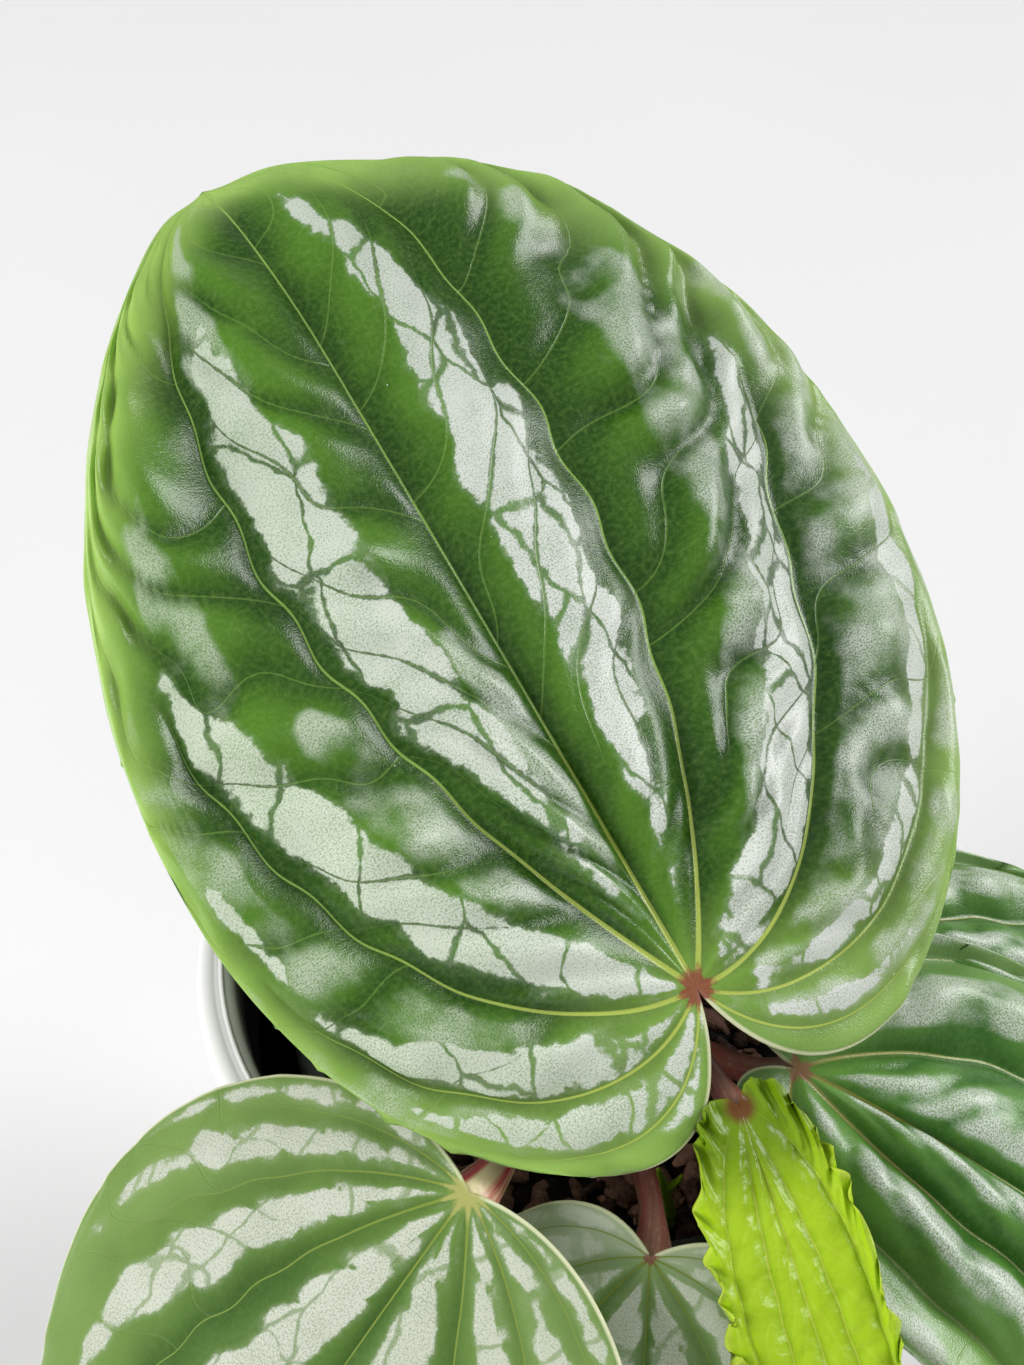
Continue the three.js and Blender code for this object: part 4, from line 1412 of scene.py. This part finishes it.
        # One ring of points round the blade's section at each row: over the
        # upper skin, round the right margin, back under and round the left.
        rings = np.concatenate([top, rims[1][:, None], under[:, ::-1], rims[0][:, None]], 1)
        around = rings.shape[1]
        faces = ring_faces(rows, around)
        first, last = rows * around, rows * around + 1
        end = (rows - 1) * around
        faces += [(first, (s + 1) % around, s) for s in range(around)]
        faces += [(last, end + s, end + (s + 1) % around) for s in range(around)]
        kept = {}
        for name, values in stores.items():
            ring = np.concatenate([values, values[:, -1:], values[:, ::-1], values[:, :1]], 1)
            ends = np.stack([np.zeros(3), values[-1, columns // 2]])
            kept[name] = np.concatenate([ring.reshape(-1, 3), ends])
        shell = Shell()
        shell.add(self.to_world(np.concatenate([rings.reshape(-1, 3), poles])), faces, **kept)
        # The lower skin's faces lie between two points of that skin's part of a ring.
        shell.slots = [
            int(columns < min(face[-1], face[-2]) % around < 2 * columns) if max(face) < first else 0
            for face in faces
        ]
        return shell.piece(self.form.name + "_skin", [upper, lower])

    def stalk_line(self) -> Array:
        """Lay the curve that the stalk follows from the crown to the blade.

        Returns:
            The curve's start, its two handles and its end, in mm.
        """
        _, forward, normal = self.axes()
        seat = np.array(self.form.base) - normal * self.seat + forward * self.slip
        turn, out, high = self.form.root
        away = np.array([math.cos(math.radians(turn)), math.sin(math.radians(turn)), 0.0])
        start = away * out + np.array([0, 0, self.soil_level + high])
        lift, meet = math.radians(self.form.lift), math.radians(self.form.meet)
        leave = away * math.cos(lift) + np.array([0, 0, math.sin(lift)])
        arrive = forward * math.cos(meet) + normal * math.sin(meet)
        pull = 0.36 * np.linalg.norm(seat - start)
        return np.stack([start, start + leave * pull, seat - arrive * pull, seat])

    def stalk(self, material: bpy.types.Material) -> bpy.types.Object:
        """Build the stalk, flared where it runs into the blade.

        Args:
            material: the stalk's skin.

        Returns:
            The stalk as one closed mesh.
        """
        handles = self.stalk_line()
        _, forward, normal = self.axes()
        share = np.linspace(0, 1, self.stalk_rings)[:, None]
        rest = 1 - share
        line = (handles[0] * rest ** 3 + 3 * handles[1] * share * rest ** 2
                + 3 * handles[2] * share ** 2 * rest + handles[3] * share ** 3)
        tangent = np.gradient(line, axis=0)
        tangent /= np.linalg.norm(tangent, axis=1, keepdims=True)
        across = np.cross(tangent, forward)
        across /= np.linalg.norm(across, axis=1, keepdims=True)
        other = np.cross(tangent, across)
        radius = self.form.thin * (self.stalk_foot + (self.stalk_top - self.stalk_foot) * share)
        wide = 1 + 0.8 * smooth(share, 0.84, 1.0) + 0.1 * smooth(0.12 - share, 0.0, 0.12)
        deep = 1 + 0.15 * smooth(share, 0.84, 1.0)
        turn = round_turn(self.stalk_sides)[None, :]
        lumps = 1 + 0.035 * Waves(self.form.seed + 40, 1.6).at(np.cos(turn) * 0.9 + 0 * share,
                                                                np.sin(turn) * 0.9 + share * 9)
        reach = (radius * lumps)[..., None]
        points = line[:, None] + reach * ((wide * np.cos(turn))[..., None] * across[:, None]
                                          + (deep * np.sin(turn))[..., None] * other[:, None])
        # The end slips under the blade: what would stand above it is pressed down.
        near = points - np.array(self.form.base)
        limit = 2.4 * smooth(-(near @ forward), -0.6, 3.0) - 0.45
        over = np.maximum(near @ normal - limit, 0) * smooth(share, 0.7, 0.8)
        points = points - over[..., None] * normal
        where = np.stack([np.cos(turn) * 2 + 0 * share, np.sin(turn) * 2 + 0 * share,
                          share * 0.3 * np.linalg.norm(handles[3] - handles[0]) + 0 * turn], -1)
        shell = Shell()
        shell.add(points.reshape(-1, 3) * MM, tube_faces(self.stalk_rings, self.stalk_sides),
                  along=np.repeat(share, self.stalk_sides, 1).ravel(), flat=where.reshape(-1, 3))
        return shell.piece(self.form.name + "_stem", [material])


# ---- soil, crown and sprout ------------------------------------------------------


@dataclass
class Soil:
    """Bark and peat that fill the nursery pot, with loose chips on top."""

    level: float = 80.0  # height in the middle
    edge_drop: float = 3.0  # how much lower it is at the pot's wall
    chips: int = 330
    chip: float = 7.5  # length of a common chip
    crumbs: int = 500
    crumb: float = 2.2  # length of a common crumb
    rings: int = 60
    sides: int = 144
    chip_rings: int = 6
    chip_sides: int = 8
    seed: int = 21

    def build(self, material: bpy.types.Material) -> bpy.types.Object:
        """Build the soil and its chips.

        Args:
            material: bark and peat.

        Returns:
            One mesh object.
        """
        low, high = (Vector(c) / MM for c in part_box("soil"))
        rim = 0.5 * (high.x - low.x)
        rings, sides = self.rings, self.sides
        share = np.linspace(0, 1, rings)[1:, None]
        turn = round_turn(sides)[None, :]
        x, y = rim * share * np.cos(turn), rim * share * np.sin(turn)
        lumps = 0.9 * Waves(self.seed, 9.0).at(x, y) + 0.45 * Waves(self.seed + 1, 3.0).at(x, y)
        z = self.level - self.edge_drop * share + lumps * smooth(1 - share, 0.0, 0.08)
        top = np.stack([x, y, z], -1).reshape(-1, 3)
        below = np.stack([x[-1] * 0.78, y[-1] * 0.78, np.full(sides, low.z)], -1)
        points = np.concatenate([[[0, 0, self.level]], top, below])
        faces: Faces = [(0, 1 + s, 1 + (s + 1) % sides) for s in range(sides)]
        faces += ring_faces(rings, sides, 1)
        faces.append(tuple(range(1 + (rings - 1) * sides, 1 + rings * sides))[::-1])
        shell = Shell()
        shell.add(points * MM, faces, chip=np.zeros(len(points)), tone=np.zeros(len(points)))
        draw = np.random.default_rng(self.seed)
        for count, size, sink in ((self.chips, self.chip, 0.1), (self.crumbs, self.crumb, 0.2)):
            for _ in range(count):
                self.add_chip(shell, draw, rim, size, sink)
        return shell.piece("bark_soil", [material])

    def add_chip(self, shell: Shell, draw: np.random.Generator, rim: float, size: float,
                 sink: float) -> None:
        """Add one chip of bark: a split, worn splinter.

        Args:
            shell: the mesh it goes into.
            draw: the source of its random sizes.
            rim: the soil's radius, in mm.
            size: about how long it is, in mm.
            sink: how deep it lies, as a share of its size.
        """
        long = size * draw.uniform(0.5, 1.15)
        half = 0.5 * np.array([long, long * draw.uniform(0.4, 0.75), long * draw.uniform(0.16, 0.4)])
        ring = (rim - 0.5 * long - 0.6) * math.sqrt(draw.uniform(0.0, 1.0))
        angle = draw.uniform(0, 2 * math.pi)
        turn = round_turn(self.chip_sides)[None, :]
        wobble = draw.uniform(0.72, 1.12, (self.chip_rings, self.chip_sides))
        at = np.linspace(-1, 1, self.chip_rings)[:, None]
        fat = np.maximum(np.sqrt(1 - np.abs(at) ** 3.5), 0.32) * wobble
        square = np.maximum(np.abs(np.cos(turn)), np.abs(np.sin(turn))) ** -0.7
        rings = np.stack([at + 0.1 * wobble, fat * square * np.cos(turn), fat * square * np.sin(turn)], -1)
        points = rings.reshape(-1, 3) * half
        spin = (Matrix.Rotation(draw.uniform(0, 2 * math.pi), 3, "Z")
                @ Matrix.Rotation(draw.normal(0, 0.28), 3, "Y")
                @ Matrix.Rotation(draw.normal(0, 0.4), 3, "X"))
        height = self.level - self.edge_drop * ring / rim + half[2] + draw.uniform(-0.6, 0.9) - sink * long
        points = points @ np.array(spin).T + [ring * math.cos(angle), ring * math.sin(angle), height]
        shell.add(points * MM, tube_faces(self.chip_rings, self.chip_sides), chip=np.ones(len(points)),
                  tone=np.full(len(points), draw.uniform(0.05, 0.95)))


@dataclass
class Crown:
    """The short stem that all the stalks grow from, ringed with leaf scars."""

    sides: int = 48
    rings: int = 30

    def build(self, material: bpy.types.Material) -> bpy.types.Object:
        """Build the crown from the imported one's box.

        Args:
            material: the stem's skin.

        Returns:
            One closed mesh object.
        """
        low, high = (np.array(c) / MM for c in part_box("crown"))
        radius = 0.5 * (high[0] - low[0]) - 0.3
        share = np.linspace(0, 1, self.rings)[:, None]
        turn = round_turn(self.sides)[None, :]
        dome = np.sqrt(np.clip(1 - smooth(share, 0.55, 1.0) ** 2 * 0.97, 0.02, 1))
        scars = 0.35 * np.sin(share * 34 + 0.6 * np.sin(turn * 2)) + 0.4 * Waves(5, 6.0).at(
            radius * np.cos(turn) + 0 * share, radius * np.sin(turn) + 16 * share)
        reach = radius * dome * 0.94 + scars * dome
        points = np.stack([reach * np.cos(turn), reach * np.sin(turn),
                           low[2] + (high[2] - low[2]) * share + 0 * turn], -1).reshape(-1, 3)
        shell = Shell()
        shell.add(points * MM, tube_faces(self.rings, self.sides),
                  along=np.repeat(share * 0.3, self.sides, 1).ravel(), flat=points)
        return shell.piece("crown_stem", [material])


@dataclass
class Sprout:
    """A tiny new shoot out of the soil, with one side prong."""

    foot: tuple[float, float] = (8.7, -31.5)
    soil_level: float = 80.0
    height: float = 11.0
    radius: float = 1.25
    prong: tuple[float, float, float] = (2.4, 0.2, 3.0)  # from its foot to its tip
    prong_bow: float = 0.5
    prong_radius: float = 0.7
    buried: float = 5.0
    lean: tuple[float, float] = (-3.0, 0.6)
    fork: int = 18  # the ring that the prong leaves from
    rings: int = 26
    sides: int = 12

    def build(self, material: bpy.types.Material) -> bpy.types.Object:
        """Build the shoot as two tapered tubes.

        Args:
            material: the young leaf's skin.

        Returns:
            One mesh object.
        """
        shell = Shell()
        foot = np.array([*self.foot, self.soil_level - self.buried])
        share = np.linspace(0, 1, self.rings)[:, None]
        bend = np.maximum(share - 0.4, 0)
        line = foot + np.concatenate([self.lean[0] * bend, self.lean[1] * bend,
                                      share * (self.height + self.buried)], 1)
        self.tube(shell, line, self.radius * (1.0 - 0.75 * share[:, 0] ** 3))
        bow = np.sin(share * math.pi) * np.array([self.prong_bow, 0, 0])
        prong = line[self.fork] + share * np.array(self.prong) + bow
        self.tube(shell, prong, self.prong_radius * (1.0 - 0.7 * share[:, 0] ** 2))
        return shell.piece("sprout_shoot", [material])

    def tube(self, shell: Shell, line: Array, radii: Array) -> None:
        """Add a closed tube, marked as plain tissue between veins.

        Args:
            shell: the mesh it goes into.
            line: its middle line, which rises, in mm.
            radii: its radius at each point of that line.
        """
        turn = round_turn(self.sides)
        circle = np.stack([np.cos(turn), np.sin(turn), np.zeros(self.sides)], -1)
        points = (line[:, None] + radii[:, None, None] * circle).reshape(-1, 3)
        shell.add(points * MM, tube_faces(self.rings, self.sides), flat=points,
                  lines=np.tile([9.0, 0.5, 9.0], (len(points), 1)),
                  place=np.tile([9.0, 9.0, 0.7], (len(points), 1)))


# ---- pots ----------------------------------------------------------------------


Profile = list[tuple[float, float]]


def lathe(name: str, profile: Profile, sides: int, material: bpy.types.Material,
          lip: list[float]) -> bpy.types.Object:
    """Turn a closed outline about the vertical axis.

    Args:
        name: the piece's name.
        profile: radius and height of each point, in mm, from the axis under
            the pot, out and up the outside and down the inside to the axis.
        sides: points round it.
        material: its finish.
        lip: a value to store for each point of the profile.

    Returns:
        One closed mesh object.
    """
    inner = profile[1:-1]
    rings = np.array([[(r * math.cos(t), r * math.sin(t), z) for t in round_turn(sides)] for r, z in inner])
    points = np.concatenate([rings.reshape(-1, 3), [[0, 0, profile[0][1]], [0, 0, profile[-1][1]]]])
    count = len(inner)
    faces = ring_faces(count, sides)
    under, inside = count * sides, count * sides + 1
    last = (count - 1) * sides
    faces += [(under, (s + 1) % sides, s) for s in range(sides)]
    faces += [(inside, last + s, last + (s + 1) % sides) for s in range(sides)]
    marks = np.repeat(np.array(lip[1:-1]), sides)
    shell = Shell()
    shell.add(points * MM, faces, lip=np.concatenate([marks, [0.0, 0.0]]))
    return shell.piece(name, [material])


def arc(centre: tuple[float, float], radius: float, start: float, stop: float, steps: int) -> Profile:
    """Return points on an arc of a profile.

    Args:
        centre: radius and height of the arc's centre, in mm.
        radius: its radius.
        start: the angle it starts at, in degrees.
        stop: the angle it ends at.
        steps: how many points it has.

    Returns:
        The points, both ends included.
    """
    return [(centre[0] + radius * math.cos(math.radians(a)), centre[1] + radius * math.sin(math.radians(a)))
            for a in np.linspace(start, stop, steps)]


@dataclass
class Cachepot:
    """The white glazed pot outside, with a rounded rim and a shallow groove."""

    base_radius: float = 46.0
    foot_ring: float = 8.0  # from the wall's foot in to where the ring that it stands on begins
    foot_inset: float = 2.2  # how far inside the wall's foot that ring ends
    foot_round: float = 2.4
    sole: float = 0.4  # how far the base is above that ring
    wall: float = 6.0
    floor: float = 4.0
    floor_round: float = 4.0
    lip: float = 2.2
    groove: float = 0.04
    sides: int = 240

    def outside(self, z: float, rim: float, height: float) -> float:
        """Return the outside radius of the wall at a height."""
        return self.base_radius + (rim - self.base_radius) * z / height

    def build(self, material: bpy.types.Material) -> bpy.types.Object:
        """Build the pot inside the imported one's box.

        Args:
            material: the pot's finish.

        Returns:
            One closed mesh object.
        """
        low, high = (np.array(c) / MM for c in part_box("cachepot"))
        height = high[2] - low[2]
        rim = 0.5 * (high[0] - low[0])
        outer = partial(self.outside, rim=rim, height=height)
        top = height - self.lip
        ring = rim - 0.5
        inside_foot, outside_foot = self.base_radius - self.foot_ring, self.base_radius - self.foot_inset
        profile = [(0.0, self.sole), (inside_foot - 1, self.sole), (inside_foot, 0.0), (outside_foot, 0.0)]
        profile += arc((outside_foot, self.foot_round), self.foot_round, -80, 0, 7)
        profile += [(outer(z), z) for z in np.linspace(8, top - 3, 22)]
        profile += arc((ring - self.lip, top), self.lip, 0, 82, 9)
        for share in np.linspace(0.1, 1.0, 9):
            dip = self.groove * math.sin(math.pi * share) ** 2
            profile.append((ring - self.lip - 0.9 * share, height - 0.02 - dip))
        inner = rim - self.wall
        profile += [(r, height) for r in np.linspace(ring - self.lip - 1.9, inner + self.lip, 3)]
        profile += arc((inner + self.lip, top), self.lip, 95, 180, 9)
        # Painted shade: the inner rounding of the rim darkens step by step into the well.
        marks = [0.0] * (len(profile) - 5) + [0.05, 0.12, 0.25, 0.4, 0.6]
        well = [(outer(z) - self.wall, z) for z in np.linspace(top - 1, self.floor + 6, 24)]
        corner = (outer(self.floor) - self.wall - self.floor_round, self.floor + self.floor_round)
        well += arc(corner, self.floor_round, 0, -90, 7)
        well += [(10.0, self.floor), (0.0, self.floor)]
        # The well is painted dark as shade.
        marks += [0.9] + [1.0] * (len(well) - 1)
        return lathe("glazed_cachepot", profile + well, self.sides, material, marks)


@dataclass
class NurseryPot:
    """The black growing pot inside, with a rolled rim."""

    base_radius: float = 33.0
    rim_radius: float = 44.5
    wall: float = 1.2
    lip_height: float = 5.0
    foot_round: float = 1.5
    sides: int = 144

    def outside(self, z: float, foot: float, top: float) -> float:
        """Return the outside radius of the wall at a height."""
        return self.base_radius + (self.rim_radius - self.base_radius) * (z - foot) / (top - foot)

    def build(self, material: bpy.types.Material) -> bpy.types.Object:
        """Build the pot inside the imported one's box.

        Args:
            material: the pot's finish.

        Returns:
            One closed mesh object.
        """
        low, high = (np.array(c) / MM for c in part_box("nursery_pot"))
        foot, top = low[2], high[2]
        lip_radius = 0.5 * (high[0] - low[0])
        outer = partial(self.outside, foot=foot, top=top)
        under = top - self.lip_height
        profile = [(0.0, foot + 0.5), (self.base_radius - 4, foot + 0.5), (self.base_radius - 3.4, foot)]
        centre = (self.base_radius - self.foot_round, foot + self.foot_round)
        profile += arc(centre, self.foot_round, -90, 0, 5)
        profile += [(outer(z), z) for z in np.linspace(foot + 4, under - 0.6, 16)]
        marks = [0.0] * len(profile)
        rim = [(lip_radius - 0.3, under), (lip_radius, under + 0.4), (lip_radius, top - 1.0)]
        rim += arc((lip_radius - 1.0, top - 1.0), 1.0, 10, 90, 5)
        rim += arc((self.rim_radius - self.wall + 0.9, top - 0.9), 0.9, 100, 180, 5)
        # The lip takes the grey of dust and painted reflection.
        marks += [0.5, 0.6, 0.9] + [1.0] * (len(rim) - 3)
        inside = [(outer(z) - self.wall, z) for z in np.linspace(top - 3, foot + 3, 16)]
        inside += [(self.base_radius - 4, foot + self.wall), (0.0, foot + self.wall)]
        marks += [0.5, 0.3] + [0.1] * (len(inside) - 2)
        return lathe("nursery_pot_shell", profile + rim + inside, self.sides, material, marks)


# ---- the room --------------------------------------------------------------------


@dataclass
class Studio:
    """A pale floor, soft light and the photograph's camera."""

    camera_place: tuple[float, float, float] = (-13.35, -176.82, 300.99)  # mm
    camera_drop: float = 40.0  # degrees below level
    focal_length: float = 1785.6  # in pixels of the photograph, as is its height
    photo_height: float = 1365.0
    sensor: float = 36.0  # mm
    floor_reach: float = 6.0  # metres from the pot to each side
    sky: float = 0.2

    def build(self) -> None:
        """Make the floor, the lights, the sky and the camera."""
        self.make_floor()
        self.make_light("window", (3.9, 1.1, 3.1), 2.6, 175.0)
        for name, place, size, power in (("ceiling", (-0.2, -0.8, 2.9), 3.0, 16.0),
                                         ("white wall", (-2.2, -0.7, 1.2), 1.8, 60.0)):
            # These two stand for a whole pale room, so they light the leaves but leave no glints.
            self.make_light(name, place, size, power).visible_glossy = False
        world = bpy.data.worlds.new("soft white room")
        world.use_nodes = True
        sky = world.node_tree.nodes["Background"]
        sky.inputs["Color"].default_value = (1.0, 1.0, 1.0, 1.0)
        sky.inputs["Strength"].default_value = self.sky
        bpy.context.scene.world = world
        bpy.context.scene.view_settings.view_transform = "Standard"
        self.make_camera()

    def make_floor(self) -> None:
        """Lay a wide pale floor at the pot's base."""
        shell = Shell()
        corners = [[-1, -1, 0], [1, -1, 0], [1, 1, 0], [-1, 1, 0]]
        shell.add(self.floor_reach * np.array(corners, float), [(0, 1, 2, 3)])
        shell.piece("floor", [PaperFloor().material()])

    def make_light(self, name: str, place: tuple[float, float, float], size: float,
                   power: float) -> bpy.types.Object:
        """Hang a square soft light that points at the plant.

        Args:
            name: the light's name.
            place: where it hangs, in metres.
            size: the length of its side, in metres.
            power: in watts.

        Returns:
            The light.
        """
        lamp = bpy.data.lights.new(name, "AREA")
        lamp.size = size
        lamp.energy = power
        light = bpy.data.objects.new(name, lamp)
        light.location = place
        light.rotation_euler = (Vector((0, 0, 0.1)) - Vector(place)).to_track_quat("-Z", "Y").to_euler()
        bpy.context.scene.collection.objects.link(light)
        return light

    def make_camera(self) -> None:
        """Put the camera where the photograph was taken."""
        data = bpy.data.cameras.new("camera")
        data.sensor_width = self.sensor
        data.lens = self.focal_length * self.sensor / self.photo_height
        data.clip_start = 0.01
        camera = bpy.data.objects.new("camera", data)
        camera.location = Vector(self.camera_place) * MM
        camera.rotation_euler = (math.radians(90 - self.camera_drop), 0, 0)
        bpy.context.scene.collection.objects.link(camera)
        bpy.context.scene.camera = camera


def leaf_finishes() -> dict[Skin, tuple[bpy.types.Material, bpy.types.Material, bpy.types.Material]]:
    """Build the finishes of each kind of leaf.

    Returns:
        For each kind, the materials of its upper skin, lower skin and stalk.
    """
    brown = FleshyStalk().material()
    cream = FleshyStalk("cream and red stalk", foot="#8f4a3e", middle="#d89f88", top="#eadfae",
                        streak="#c22c40", streaks=0.95).material()
    young = YoungLeafSkin().material()
    under = LeafUnderside().material()
    quiet = WaxyLeafSkin("waxy skin of the smaller leaves", deep="#3b5f22", middle="#5f8437", light="#7ea04b",
                         right_half_light=1.0, vein="#84993f", far_vein="#7b9947", hub="#8a5a3e", hub_reach=3.0,
                         silver_shade="#a5b096", silver_light="#d6dbcb", ribs=0.2, ragged=0.7)
    glossy = WaxyLeafSkin("waxy skin of the lower leaves", deep="#336820", middle="#659c42", light="#8fbb5c",
                          right_half_light=1.0, mist=0.95, vein="#a3a55a", far_vein="#88ab55", hub="#a5745c",
                          hub_reach=3.5, ragged=0.7)
    # The pale leaf's skin is its own silvery pallor, lightened further as painted light where leaf_1 shades
    # it.
    pale = replace(quiet, name="waxy skin of the pale leaf", deep="#547b38", middle="#82a45c",
                   light="#9dbb74", silver_shade="#b9c6aa", silver_light="#e3e8d8", hub="#8a5040",
                   hub_reach=2.2, ragged=0.45)
    hubbed = replace(quiet, name="waxy skin with a cream hub", hub="#b3b468", hub_reach=4.6)
    return {
        Skin.VIVID: (WaxyLeafSkin().material(), under, brown),
        Skin.GLOSSY: (glossy.material(), under, brown),
        Skin.CREAM: (hubbed.material(), under, cream),
        Skin.QUIET: (quiet.material(), under, brown),
        Skin.PALE: (pale.material(), under, brown),
        Skin.YOUNG: (young, young, brown),
    }


def main() -> None:
    """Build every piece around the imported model."""
    logging.basicConfig(level=logging.INFO, format="%(name)s %(message)s")
    Studio().build()
    report(Cachepot().build(WhiteGlaze().material()), "glaze", "cachepot")
    report(NurseryPot().build(NurseryPlastic().material()), "pot_plastic", "nursery_pot")
    report(Soil().build(PottingBark().material()), "bark", "soil")
    finishes = leaf_finishes()
    report(Crown().build(finishes[Skin.VIVID][2]), "stem", "crown")
    for form in LEAVES:
        leaf = Leaf(form)
        upper, lower, stem = finishes[form.skin]
        slot = "young_leaf" if form.skin is Skin.YOUNG else "leaf"
        report(leaf.blade(upper, lower), slot, form.name + "_blade")
        report(leaf.stalk(stem), "stem", form.name + "_stalk")
    report(Sprout().build(finishes[Skin.YOUNG][0]), "young_leaf", "sprout")


if __name__ == "__main__":
    main()
